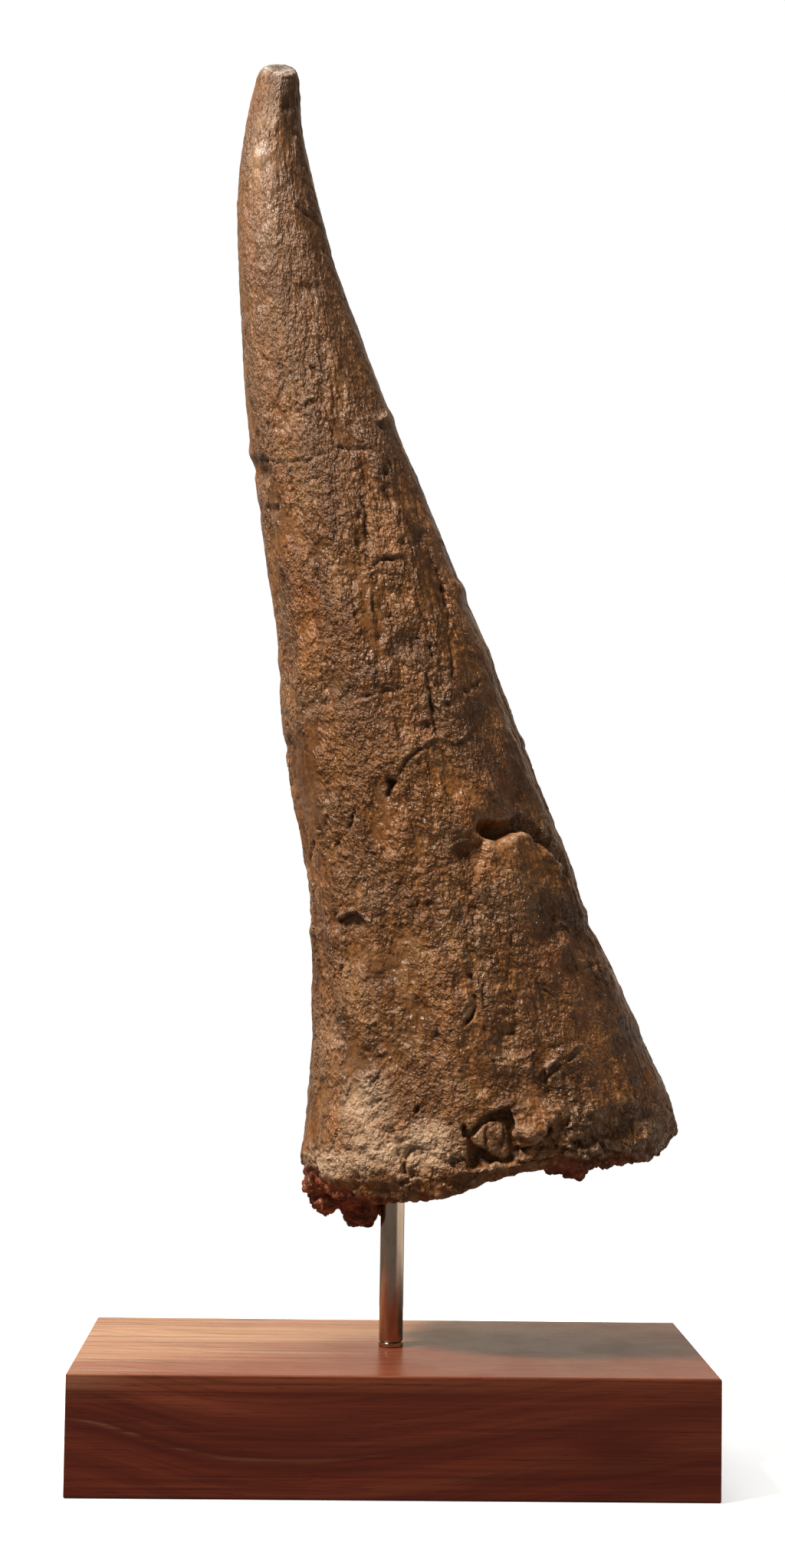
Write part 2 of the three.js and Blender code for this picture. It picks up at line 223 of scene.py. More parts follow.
# The plate on the right of the front, with the dark recess over it, as pixels of the photograph
PLATE_PX = (
    (620, 1150), (624, 1127), (629, 1111), (630, 1095), (636, 1092), (648, 1097), (657, 1094), (668, 1087),
    (680, 1084), (690, 1088), (699, 1098), (709, 1104), (718, 1113), (729, 1127), (738, 1141), (748, 1158),
    (760, 1180), (790, 1260), (800, 1360), (620, 1360), (620, 1190),
)
PLATE_RISE = 3.2
PLATE_FADES_PX = (1125, 1330)
LIP_ROUGHNESS = 1.6
LIP_MIDDLE_PX = 5
LIP_HALF_PX = 12
NOTCH_PX = (
    (620, 1080), (626, 1069), (643, 1070), (661, 1070), (677, 1063), (692, 1070), (704, 1081), (716, 1092),
    (728, 1106), (739, 1123), (750, 1142), (760, 1162), (754, 1168), (743, 1150), (732, 1133), (721, 1118),
    (711, 1106), (699, 1098), (690, 1088), (680, 1084), (668, 1087), (657, 1094), (648, 1097), (634, 1092),
)
NOTCH_DEPTH = 9.0
NOTCH_HEART_PX = ((646, 1082), (14, 9))  # middle and half-sizes
NOTCH_HEART_DEPTH = 5.0

# The broken pocket over the middle of the base, with the block of bone that is left in it
POCKET_PX = (
    (604, 1468), (612, 1476), (622, 1466), (634, 1457), (648, 1450), (664, 1449), (668, 1466), (672, 1490),
    (676, 1520), (650, 1526), (612, 1527), (609, 1500),
)
POCKET_DEPTH = 8.0
POCKET_BLOCK_PX = (
    (612, 1483), (622, 1470), (636, 1459), (650, 1452), (661, 1453), (665, 1480), (669, 1508), (660, 1516),
    (640, 1509), (620, 1499),
)
POCKET_BLOCK_RISE = 6.5

# Panel of bare bone under the small arch on the left
PANEL_PX = (
    (446, 1203), (452, 1197), (459, 1195), (468, 1198), (475, 1205), (476, 1244), (470, 1262), (447, 1262),
)
PANEL_DEPTH = 2.0

# Long marks of the front: half-width in pixels, height in millimetres, and the path in pixels
TOP_LINES = (
    (9, 0.9, ((366, 108), (363, 138), (360, 172))),
    (9, 0.7, ((361, 246), (364, 286), (361, 318))),
    (3.5, -1.6, ((386, 270), (396, 277), (407, 285), (417, 295), (426, 306))),
    (2.5, -0.9, ((366, 297), (373, 293), (378, 297), (377, 306))),
    (2.5, -0.9, ((359, 323), (371, 316))),
    (4, -1.2, ((333, 108), (329, 118), (326, 128))),
    (3, -1.0, ((384, 170), (392, 190), (395, 214))),
    (4, 1.2, ((331, 345), (343, 349), (352, 345))),
    (2.5, -1.0, ((397, 372), (408, 381), (416, 388))),
)
UPPER_LINES = (
    (2.6, -1.8, ((341, 601), (368, 604), (398, 601), (416, 594), (437, 586), (460, 585), (486, 584))),
    (2.4, -1.5, ((383, 634), (403, 630), (416, 622), (428, 620))),
    (3, -1.5, ((388, 537), (397, 531), (407, 525), (424, 522))),
    (3, -1.2, ((401, 545), (419, 537))),
    (3, 1.2, ((391, 527), (405, 519), (421, 516))),
    (4, -1.5, ((444, 590), (440, 604), (436, 618))),
    (3, -1.3, ((355, 671), (361, 665), (365, 658))),
    (3.5, -1.5, ((472, 650), (477, 680), (479, 706), (479, 742))),
    (3.5, 1.3, ((467, 650), (471, 674), (472, 706), (473, 735))),
    (4.5, -2.4, ((484, 741), (495, 733), (506, 727), (521, 729))),
    (3.5, 1.6, ((482, 727), (498, 721), (512, 722), (524, 724))),
    (3, -1.0, ((400, 440), (399, 470), (397, 506))),
    (3, -0.9, ((424, 470), (421, 510), (417, 552))),
    (2.5, -1.0, ((352, 560), (349, 585), (345, 612))),
    (3, -1.2, ((336, 560), (342, 590), (344, 604))),
    (3, 1.3, ((490, 553), (499, 545), (508, 536))),
    (3, -1.2, ((440, 655), (438, 700), (441, 742))),
    (2.5, -0.9, ((515, 600), (520, 640), (524, 690))),
    (2.5, -0.9, ((410, 700), (414, 742), (420, 780))),
)
MIDDLE_LINES = (
    (3.5, -1.8, ((459, 750), (459, 775), (462, 800), (463, 812))),
    (3, -1.1, ((474, 764), (477, 780), (477, 806))),
    (3, -1.5, ((486, 772), (488, 792), (493, 818))),
    (3, 1.0, ((467, 764), (469, 796), (471, 808))),
    (3, 1.0, ((481, 764), (483, 796), (485, 810))),
    (3, -1.2, ((501, 772), (506, 796), (512, 820))),
    (3, 1.3, ((474, 752), (483, 746), (493, 744))),
    (3, -1.6, ((572, 740), (577, 764), (583, 790), (587, 822))),
    (3, -1.7, ((467, 909), (479, 909), (490, 906), (512, 901), (540, 893))),
    (2.5, 1.0, ((466, 914), (476, 914), (486, 911))),
    (3, -1.2, ((606, 902), (616, 896), (626, 889))),
    (3, -1.6, ((562, 838), (566, 856), (568, 872))),
    (3, -1.4, ((588, 836), (592, 868), (590, 884))),
    (3.5, -2.2, ((557, 880), (561, 905), (566, 938), (570, 960))),
    (3, -1.9, ((505, 1019), (517, 1021), (524, 1004), (534, 988), (546, 978), (560, 974))),
    (4, -3.0, ((507, 1016), (513, 1021), (508, 1030), (504, 1040))),
    (3.5, 1.5, ((546, 970), (560, 965), (573, 961), (585, 966), (597, 968), (605, 962), (612, 954))),
    (3, 1.2, ((520, 995), (531, 982), (544, 971))),
    (3, 0.9, ((573, 972), (574, 1000), (575, 1045))),
    (3, -1.2, ((498, 1000), (502, 1010), (506, 1018))),
    (3, -2.2, ((462, 1054), (459, 1066), (456, 1084))),
    (3, -1.6, ((447, 1096), (441, 1100), (437, 1108))),
    (3.5, -2.2, ((427, 1062), (427, 1070), (424, 1078))),
    (3.5, -2.2, ((408, 1100), (406, 1114), (403, 1132))),
    (3.5, -2.0, ((366, 977), (373, 983), (378, 992))),
    (3, -1.2, ((676, 1024), (677, 1038), (680, 1050))),
)
LOWER_LINES = (
    (3, -2.6, ((444, 1205), (447, 1199), (454, 1195), (461, 1195), (469, 1199), (475, 1205))),
    (4, 2.0, ((437, 1201), (443, 1193), (452, 1188), (462, 1186), (472, 1190), (481, 1199))),
    (2.8, -1.8, ((446, 1206), (446, 1240), (444, 1278))),
    (2.6, -1.4, ((476, 1206), (477, 1226), (476, 1246))),
    (2.6, -1.2, ((452, 1212), (453, 1244), (458, 1292))),
    (4, -2.2, ((437, 1192), (438, 1205))),
    (3, -1.1, ((500, 1235), (500, 1262), (498, 1290))),
    (4, 2.2, ((611, 1298), (611, 1310), (608, 1322), (603, 1330))),
    (3.5, -3.0, ((620, 1298), (619, 1314), (615, 1328), (607, 1337))),
    (3, -1.6, ((612, 1270), (618, 1280), (632, 1284), (640, 1284))),
    (3, -1.2, ((630, 1286), (632, 1310), (634, 1345))),
    (3, 1.0, ((626, 1190), (623, 1230), (624, 1270))),
    (2.8, -1.0, ((617, 1192), (616, 1230), (618, 1268))),
    (3.5, 2.0, ((697, 1408), (712, 1392), (728, 1379), (742, 1371), (758, 1363))),
    (3.5, -1.5, ((708, 1413), (722, 1398), (738, 1386), (756, 1374))),
    (3, 1.5, ((662, 1381), (674, 1381), (685, 1378), (697, 1369))),
    (3, 1.2, ((698, 1376), (692, 1392), (695, 1408))),
    (3.5, -1.2, ((652, 1345), (662, 1349), (674, 1349))),
    (3.5, -2.2, ((776, 1270), (783, 1276), (792, 1286))),
    (4.5, 2.2, ((722, 1212), (727, 1204), (736, 1205), (744, 1216))),
    (3, -1.6, ((758, 1180), (768, 1210), (776, 1240), (790, 1280))),
    (3, 1.0, ((776, 1220), (778, 1250), (776, 1275))),
    (3, -1.1, ((666, 1190), (668, 1230), (662, 1280))),
    (3, -1.0, ((540, 1290), (545, 1320), (543, 1352))),
    (3, -1.2, ((578, 1300), (573, 1330), (566, 1356))),
    (3.5, 1.2, ((456, 1320), (470, 1332), (484, 1336), (492, 1328))),
    (3, -1.2, ((430, 1290), (436, 1310), (434, 1336))),
    (3, -1.0, ((452, 1330), (450, 1362), (452, 1392))),
)
BASE_LINES = (
    (3.5, -2.6, ((481, 1421), (486, 1412), (493, 1406), (499, 1396))),
    (3.5, -2.2, ((479, 1450), (487, 1441), (498, 1434))),
    (3.5, -2.0, ((481, 1465), (488, 1460), (495, 1455))),
    (3.5, 1.6, ((470, 1414), (478, 1404), (488, 1398))),
    (3, 1.4, ((466, 1446), (474, 1438), (484, 1432))),
    (4, -3.0, ((541, 1451), (545, 1446), (549, 1443))),
    (3, -2.2, ((571, 1469), (580, 1469), (587, 1466), (595, 1473))),
    (3.5, -3.0, ((527, 1530), (529, 1516), (533, 1507), (539, 1500))),
    (3, -1.8, ((539, 1510), (546, 1506), (555, 1504), (564, 1507), (574, 1512))),
    (3, -2.2, ((521, 1545), (532, 1536), (545, 1534), (560, 1538))),
    (4.5, -5.0, ((604, 1468), (606, 1474), (607, 1480))),
    (3, -1.8, ((636, 1466), (633, 1482), (637, 1500))),
    (3, -1.4, ((655, 1464), (657, 1480), (654, 1498))),
    (3.5, -4.0, ((664, 1449), (668, 1466), (672, 1492), (676, 1516))),
    (4.5, -4.5, ((673, 1499), (682, 1498), (692, 1495), (706, 1489), (714, 1482), (719, 1472))),
    (4.5, -4.0, ((679, 1519), (692, 1516), (706, 1516), (720, 1513))),
    (3, -2.0, ((692, 1500), (704, 1496), (722, 1494), (738, 1498))),
    (4, -3.0, ((740, 1490), (752, 1492), (762, 1496), (776, 1492))),
    (4, -3.0, ((772, 1484), (786, 1492), (792, 1502), (806, 1505))),
    (3.5, -2.4, ((752, 1440), (758, 1452), (768, 1462), (778, 1460))),
    (3.5, 2.0, ((760, 1436), (770, 1446), (776, 1458))),
    (4, 2.0, ((640, 1447), (652, 1443), (662, 1442))),
    (3, -1.6, ((590, 1404), (594, 1418), (592, 1432))),
    (3, -1.6, ((640, 1380), (648, 1392), (652, 1410))),
    (3.5, -2.0, ((440, 1480), (446, 1492), (452, 1500), (462, 1503))),
    (3.5, -2.0, ((404, 1500), (412, 1512), (416, 1524), (412, 1536))),
)

# How wide the long marks are drawn, as a share of their listed widths
LINE_WIDTH = 0.58

# Round marks of the front: the middle and half-sizes in pixels, and the height in millimetres
SPOTS = (
    (374, 140, 5, 5, -1.6), (347, 155, 9, 10, 1.2), (340, 204, 11, 11, 1.4), (340, 236, 9, 8, 1.0),
    (404, 376, 12, 9, -1.6), (348, 352, 16, 8, 0.9), (378, 320, 10, 8, 0.9), (385, 128, 6, 9, -1.0),
    (342, 620, 7, 6, -2.6), (329, 606, 7, 9, -1.6), (358, 664, 6, 6, -1.6), (577, 766, 4, 5, -2.0),
    (503, 618, 5, 5, -1.4), (503, 640, 5, 6, -1.4), (466, 642, 4, 5, -1.2), (547, 700, 6, 8, -1.2),
    (534, 838, 22, 14, -2.2), (496, 828, 6, 5, -1.6), (512, 854, 12, 5, -1.2), (553, 810, 10, 16, -1.4),
    (585, 920, 5, 4, -2.0), (558, 948, 5, 5, -2.4), (573, 895, 7, 5, -1.8), (566, 925, 5, 10, -1.8),
    (640, 890, 9, 6, -1.0), (512, 1022, 8, 5, -2.6), (598, 1116, 28, 13, -1.1), (645, 1104, 12, 8, 1.2),
    (536, 1200, 6, 5, -1.4), (600, 1200, 6, 5, -1.4), (711, 1226, 11, 13, -1.5), (736, 1228, 11, 20, 1.8),
    (496, 1278, 18, 10, -1.6), (662, 1322, 7, 6, -1.4), (664, 1350, 9, 4, -0.8), (770, 1225, 8, 9, -0.9),
    (748, 1268, 12, 10, -0.7), (400, 1120, 7, 14, -1.4), (386, 1128, 5, 7, -1.6), (446, 1390, 14, 20, 1.6),
    (470, 1425, 12, 16, 1.4), (515, 1430, 12, 10, -1.2), (545, 1447, 5, 5, -1.8), (508, 1470, 14, 10, 1.4),
    (626, 1508, 13, 9, -3.5), (650, 1478, 7, 13, 1.4),
    (690, 1476, 20, 16, 5.0), (650, 1522, 9, 3.5, 3.0), (687, 1441, 14, 9, 2.2), (722, 1452, 14, 12, 2.2),
    (716, 1502, 20, 7, 2.6), (780, 1446, 20, 14, 2.4), (822, 1440, 18, 12, 2.0), (850, 1480, 16, 16, 2.0),
    (800, 1478, 20, 10, -1.8), (840, 1456, 8, 6, -2.0), (424, 1456, 10, 12, 1.4), (408, 1524, 7, 8, -3.0),
    (417, 1532, 4, 4, -2.4), (444, 1538, 4, 3, 2.0), (468, 1480, 12, 8, -1.2), (560, 1522, 18, 12, 1.6),
    (590, 1500, 16, 10, 1.2), (648, 1460, 10, 5, -2.0), (470, 1506, 75, 34, 3.5), (800, 1500, 60, 24, 2.5),
)

# Paler and darker patches of the front, partly real paler and darker bone and partly painted light: painted
# highlight on lit lumps, the lit left edge and the base, and painted shade in hollows and the broken
# pocket:
# the middle and half-sizes in pixels, and how much paler
TONES_AND_PAINTED_LIGHT = (
    (347, 155, 12, 12, 0.5), (340, 205, 14, 14, 0.6), (341, 238, 10, 9, 0.4), (350, 300, 16, 40, 0.25),
    (378, 140, 9, 20, -0.4), (400, 250, 12, 60, -0.2), (430, 455, 22, 60, -0.3), (497, 545, 12, 10, 0.5),
    (400, 640, 14, 60, 0.15), (536, 840, 26, 18, -0.5), (475, 1440, 34, 40, 0.8), (500, 1500, 50, 22, 0.6),
    (430, 1515, 30, 16, 0.8), (565, 1490, 36, 34, 0.75), (430, 1350, 24, 60, 0.35),
    (440, 1530, 60, 14, 0.5), (376, 960, 12, 60, 0.1), (395, 1110, 12, 30, -0.4),
    (640, 1484, 24, 26, -0.4), (655, 1094, 34, 9, 0.2), (700, 1330, 70, 60, -0.15),
    (830, 1480, 40, 30, -0.1), (380, 1300, 12, 90, 0.25),
)

# Smoother patches of the front, where the fine relief is weak and streaks show: as above, and how smooth
SMOOTH_PATCHES = (
    (395, 1030, 24, 90, 0.9), (388, 1200, 22, 90, 0.6), (512, 1262, 40, 52, 0.8), (460, 1240, 22, 40, 0.6),
    (548, 1345, 34, 44, 0.6), (620, 1390, 50, 40, 0.5), (360, 170, 26, 90, 0.6), (330, 290, 24, 90, 0.4),
    (358, 730, 18, 110, 0.5), (400, 870, 30, 50, 0.3), (500, 920, 60, 34, 0.4), (480, 1450, 60, 50, 0.4),
    (640, 1490, 40, 40, 0.6), (430, 400, 40, 60, 0.3),
)

# Bumps and notches of the outline: side, place down the photograph, half-size in pixels, and millimetres
OUTLINE_MARKS = (
    ("left", 590, 9, 1.2), ("left", 613, 8, -1.4), ("left", 668, 10, -0.8), ("left", 862, 12, 1.0),
    ("left", 975, 9, -1.4), ("left", 1120, 14, 0.9), ("left", 1215, 7, 1.3), ("left", 1350, 20, -0.8),
    ("right", 545, 9, 1.4), ("right", 768, 9, 1.6), ("right", 790, 9, -0.8), ("right", 850, 12, 1.0),
    ("right", 968, 8, 1.2), ("right", 1190, 8, 1.6), ("right", 1208, 8, -0.9), ("right", 1330, 14, 1.0),
)


def smoothstep(value, low, high):
    t = np.clip((value - low) / (high - low), 0.0, 1.0)
    return t * t * (3 - 2 * t)


def along(pairs, at):
    """The value at some places on a smooth curve through pairs of a place and a value."""
    keys, values = np.array(pairs, float).T
    at = np.clip(at, keys[0], keys[-1])
    i = np.clip(np.searchsorted(keys, at, side="right") - 1, 0, len(keys) - 2)
    before = np.maximum(i - 1, 0)
    after = np.minimum(i + 2, len(keys) - 1)
    span = keys[i + 1] - keys[i]
    start_slope = (values[i + 1] - values[before]) / (keys[i + 1] - keys[before]) * span
    end_slope = (values[after] - values[i]) / (keys[after] - keys[i]) * span
    u = (at - keys[i]) / span
    rising = values[i] * (1 + 2 * u) * (1 - u) ** 2 + start_slope * u * (1 - u) ** 2
    return rising + values[i + 1] * u * u * (3 - 2 * u) - end_slope * u * u * (1 - u)


def lattice_hash(i, j, k):
    """Repeatable whole numbers for whole-number places."""
    with np.errstate(over="ignore"):
        h = (
            i.astype(np.int64).astype(np.uint32) * np.uint32(374761393)
            + j.astype(np.int64).astype(np.uint32) * np.uint32(668265263)
            + k.astype(np.int64).astype(np.uint32) * np.uint32(1440662683)
        )
        h = (h ^ (h >> np.uint32(13))) * np.uint32(1274126177)
    return h ^ (h >> np.uint32(16))


def hash_share(i, j, k):
    """Repeatable numbers from 0 to 1 for whole-number places."""
    return lattice_hash(i, j, k) / 4294967296.0


def corners(points):
    """The whole-number corners round each point, with the share that each one has in it."""
    cell = np.floor(points)
    local = points - cell
    eased = local * local * (3 - 2 * local)
    for corner in range(8):
        step = np.array([corner & 1, (corner >> 1) & 1, (corner >> 2) & 1])
        weight = np.where(step, eased, 1 - eased).prod(1)
        yield (cell + step).T, local - step, weight


def value_noise(points):
    """Smooth noise from -1 to 1, the same as the part's."""
    total = sum(weight * hash_share(*cell) for cell, _, weight in corners(points))
    return 2 * total - 1


GRADIENTS = np.array(
    [(x, y, 0) for x in (-1, 1) for y in (-1, 1)]
    + [(x, 0, z) for x in (-1, 1) for z in (-1, 1)]
    + [(0, y, z) for y in (-1, 1) for z in (-1, 1)],
    float,
)


def noise(points, seed=0):
    """Smooth gradient noise from about -1 to 1 whose lumps are about one unit across."""
    shifted = points + seed * np.array([17.3, 31.7, 47.9])
    total = np.zeros(len(points))
    for cell, local, weight in corners(shifted):
        gradient = GRADIENTS[lattice_hash(*cell) % np.uint32(12)]
        total += weight * (gradient * local).sum(1)
    return 1.5 * total


def layered(points, octaves, seed=0, fade=0.5):
    """Noise with finer and weaker noise on top of it."""
    total = np.zeros(len(points))
    strength = 1.0
    for octave in range(octaves):
        total += strength * noise(points * 2.03**octave, seed + octave)
        strength *= fade
    return total


def ridges(points, seed=0):
    """Noise from 0 to 1 that makes thin crests, 1 on a crest."""
    return 1 - np.clip(np.abs(noise(points, seed)) * 2.2, 0, 1)


def cells(points, seed=0):
    """How far the nearest scattered seed is, the gap to the next nearest, and a number for its cell."""
    base = np.floor(points)
    nearest = np.full(len(points), 9.0)
    second = np.full(len(points), 9.0)
    own = np.zeros(len(points))
    for x in (-1, 0, 1):
        for y in (-1, 0, 1):
            for z in (-1, 0, 1):
                cell = (base + np.array([x, y, z])).T
                jitter = [hash_share(cell[0] + 101 * n + seed, cell[1], cell[2]) for n in range(3)]
                distance = np.linalg.norm(cell.T + np.stack(jitter, 1) - points, axis=1)
                own = np.where(distance < nearest, hash_share(cell[0] + seed, cell[1] + 7, cell[2]), own)
                second = np.minimum(second, np.maximum(nearest, distance))
                nearest = np.minimum(nearest, distance)
    return nearest, second - nearest, own


def turn(start, end):
    """Degrees from one direction round the horn to others, from -180 to 180."""
    return np.mod(end - start + 180, 360) - 180


def form_points(angle, z):
    """Points of the horn's smooth form at some angles round it and heights."""
    left, right = along(LEFT_EDGE, z), along(RIGHT_EDGE, z)
    x = (left + right) / 2 + (right - left) / 2 * np.cos(angle)
    y = along(CENTRE_DEPTH, z) + along(HALF_DEPTH, z) * np.sin(angle)
    return np.stack([x, y, z], 1)


def broad_relief(points, angle):
    """How far the skin stands out from the smooth form, as in the part: flutes, lumps and soft marks."""
    x, _, z = points.T
    slender = np.clip((TIP_HEIGHT - z) / 500, 0.25, 1)
    broad = slender * (0.8 + 0.8 * np.abs(np.sin(angle)))
    flutes = 0.8 * np.sin(9 * angle + 2.5 * value_noise(points / (90, 90, 160))) * broad
    large_lumps = 1.5 * value_noise(points / (46, 46, 60)) * broad
    small_lumps = 0.9 * value_noise(points / (17, 17, 22)) * broad
    total = flutes + large_lumps + small_lumps
    facing = smoothstep(-np.sin(angle), 0.02, 0.3)
    for mark_x, mark_z, half_x, half_z, height in FRONT_MARKS:
        total += facing * height * np.exp(-(((x - mark_x) / half_x) ** 2) - ((z - mark_z) / half_z) ** 2)
    degrees = np.degrees(angle)
    for mark_angle, mark_z, half_angle, half_z, height in BACK_MARKS:
        across = turn(mark_angle, degrees) / half_angle
        total += height * np.exp(-(across**2) - ((z - mark_z) / half_z) ** 2)
    return total


def skin_points(angle, z):
    points = form_points(angle, z)
    outward = np.stack([SIDE_LEAN * np.cos(angle), np.sin(angle), np.zeros_like(angle)], 1)
    outward /= np.linalg.norm(outward, axis=1)[:, None]
    return points + outward * broad_relief(points, angle)[:, None]


def horn_rings():
    """Rings of points from the middle of the underside, round the rim and up over the tip."""
    angle = 2 * np.pi * np.arange(LOFT_COLUMNS) / LOFT_COLUMNS
    near_rim = np.full(LOFT_COLUMNS, float(RIM_HEIGHT[-1][1]))
    rim = along(RIM_HEIGHT, form_points(angle, near_rim)[:, 0])
    rim_points = skin_points(angle, rim)
    middle = np.array([*BASE_MIDDLE, 0.0])
    rings = []
    inner_shares = np.arange(0.04, 0.9, 0.04)
    edge_shares = np.arange(0.91, 1.0, 0.01)
    for share in np.concatenate([inner_shares, edge_shares]):
        ring = middle + (rim_points - middle) * share
        rough = BASE_ROUGHNESS * value_noise(ring * (1, 1, 0) / BASE_PATCH + (0, 0, 0.5))
        floor = along(UNDERSIDE_HEIGHT, ring[:, 0]) + rough
        ring[:, 2] = floor + (rim - floor) * smoothstep(share, RIM_TURNS_UP_AT, 1)
        rings.append(ring)
    rows = int((TIP_SHOULDER - rim.mean()) / LOFT_STEP)
    for row in range(rows):
        rings.append(skin_points(angle, rim + (TIP_SHOULDER - rim) * row / rows))
    shoulder = skin_points(angle, np.full(LOFT_COLUMNS, TIP_SHOULDER))
    top = np.array([*TIP_TOP, TIP_HEIGHT])
    dome_turns = np.radians(np.arange(0, 90, 9))
    for rise in np.sin(dome_turns):
        ring = shoulder + (top - shoulder) * (1 - math.sqrt(1 - rise**2))
        ring[:, 2] = TIP_SHOULDER + (TIP_HEIGHT - TIP_SHOULDER) * rise
        rings.append(ring)
    return rings


def mesh_from(name, points, faces):
    """A mesh in metres from points in millimetres."""
    mesh = bpy.data.meshes.new(name)
    mesh.from_pydata((np.asarray(points) * MM).tolist(), [], faces)
    mesh.validate()
    mesh.update()
    return mesh


def linked(name, mesh):
    piece = bpy.data.objects.new(name, mesh)
    bpy.context.scene.collection.objects.link(piece)
    return piece


def loft(name, rings):
    """A closed mesh from rings of the same number of points, with a point in the middle of each end."""
    count = len(rings[0])
    points = [rings[0].mean(0), *np.concatenate(rings), rings[-1].mean(0)]
    faces = []
    for i in range(count):
        j = (i + 1) % count
        faces.append((0, 1 + j, 1 + i))
        for ring in range(len(rings) - 1):
            low, high = 1 + ring * count, 1 + (ring + 1) * count
            faces.append((low + i, low + j, high + j, high + i))
        last = 1 + (len(rings) - 1) * count
        faces.append((last + i, last + j, len(points) - 1))
    return linked(name, mesh_from(name, points, faces))


def lump_shapes():
    """Middles and half-sizes of the lumps under the break: those that hang, and a spiral of low ones."""
    golden_angle = math.pi * (3 - math.sqrt(5))
    shapes = list(HANGING_LUMPS)
    for n in range(SCATTERED_LUMPS):
        reach = 0.28 + 0.5 * math.sqrt((n + 1) / SCATTERED_LUMPS)
        x = BASE_MIDDLE[0] + BASE_LENGTH / 2 * reach * math.cos(n * golden_angle)
        y = BASE_MIDDLE[1] + BASE_DEPTH / 2 * reach * math.sin(n * golden_angle)
        size = 8 + 5 * float(hash_share(*np.array([[n], [3], [5]]))[0])
        z = float(along(UNDERSIDE_HEIGHT, np.array([x]))[0]) + 2
        shapes.append(((x, y, z), (size * 1.3, size, size * 0.7)))
    return shapes


def lump(middle, half):
    """A rough lump of broken bone."""
    made = bmesh.new()
    bmesh.ops.create_icosphere(made, subdivisions=4, radius=1.0)
    made.verts.ensure_lookup_table()
    unit = np.array([v.co for v in made.verts], float)
    faces = [[v.index for v in f.verts] for f in made.faces]
    made.free()
    rough = 1 + 0.2 * value_noise(2.1 * unit + middle)
    return linked("lump", mesh_from("lump", np.array(middle) + unit * half * rough[:, None], faces))


def joined(name, pieces):
    """One object with the faces of several, which are removed."""
    points, faces = [], []
    for piece in pieces:
        start = len(points)
        points.extend(v.co[:] for v in piece.data.vertices)
        faces.extend([start + i for i in f.vertices] for f in piece.data.polygons)
        bpy.data.objects.remove(piece)
    mesh = bpy.data.meshes.new(name)
    mesh.from_pydata(points, [], faces)
    mesh.update()
    return linked(name, mesh)


def applied(piece, kind, **settings):
    """Adds a modifier to a piece and makes its result the piece's mesh."""
    modifier = piece.modifiers.new(kind.lower(), kind)
    for key, value in settings.items():
        setattr(modifier, key, value)
    evaluated = piece.evaluated_get(bpy.context.evaluated_depsgraph_get())
    mesh = bpy.data.meshes.new_from_object(evaluated)
    piece.modifiers.clear()
    old = piece.data
    piece.data = mesh
    bpy.data.meshes.remove(old)


def vertex_array(mesh):
    co = np.empty(len(mesh.vertices) * 3)
    mesh.vertices.foreach_get("co", co)
    return co.reshape(-1, 3) / MM


def normal_array(mesh):
    normals = np.empty(len(mesh.vertices) * 3, np.float32)
    mesh.vertex_normals.foreach_get("vector", normals)
    return normals.reshape(-1, 3).astype(float)


def set_vertices(mesh, points):
    mesh.vertices.foreach_set("co", (points * MM).ravel())
    mesh.update()


def add_attribute(mesh, name, values):
    kind = "FLOAT_VECTOR" if values.ndim == 2 else "FLOAT"
    attribute = mesh.attributes.new(name, kind, "POINT")
    attribute.data.foreach_set("vector" if values.ndim == 2 else "value", values.astype(np.float32).ravel())


def camera_axes():
    """The camera's right, up and forward directions."""
    forward = np.array([
        math.sin(CAMERA_YAW) * math.cos(CAMERA_PITCH),
        math.cos(CAMERA_YAW) * math.cos(CAMERA_PITCH),
        math.sin(CAMERA_PITCH),
    ])
    level = np.array([math.cos(CAMERA_YAW), -math.sin(CAMERA_YAW), 0.0])
    above = np.cross(level, forward)
    right = math.cos(CAMERA_ROLL) * level + math.sin(CAMERA_ROLL) * above
    up = -math.sin(CAMERA_ROLL) * level + math.cos(CAMERA_ROLL) * above
    return right, up, forward


def photo_pixels(points):
    """Where points fall in the photograph."""
    right, up, forward = camera_axes()
    offset = points - np.array(CAMERA_PLACE)
    depth = offset @ forward
    u = PHOTO_WIDTH / 2 + FOCAL_PIXELS * (offset @ right) / depth
    v = PHOTO_HEIGHT / 2 - FOCAL_PIXELS * (offset @ up) / depth
    return np.stack([u, v], 1)


def add_camera():
    data = bpy.data.cameras.new("camera")
    data.sensor_width = SENSOR
    data.lens = FOCAL_PIXELS * SENSOR / PHOTO_HEIGHT
    data.clip_start = 0.05
    data.clip_end = 50
    camera = linked("camera", data)
    right, up, forward = camera_axes()
    turned = Matrix((right, up, -forward)).transposed().to_4x4()
    camera.matrix_world = Matrix.Translation(Vector(CAMERA_PLACE) * MM) @ turned
    bpy.context.scene.camera = camera


def to_polyline(pixels, path):
    """Distance in pixels to a path, and how far along the path the nearest place is, from 0 to 1."""
    best = np.full(len(pixels), 1e9)
    place = np.zeros(len(pixels))
    path = np.array(path, float)
    lengths = np.linalg.norm(np.diff(path, axis=0), axis=1)
    total = lengths.sum()
    run = 0.0
    for start, end, length in zip(path[:-1], path[1:], lengths):
        t = np.clip(((pixels - start) @ (end - start)) / length**2, 0, 1)
        distance = np.linalg.norm(pixels - start - t[:, None] * (end - start), axis=1)
        closer = distance < best
        best[closer] = distance[closer]
        place[closer] = (run + t[closer] * length) / total
        run += length
    return best, place


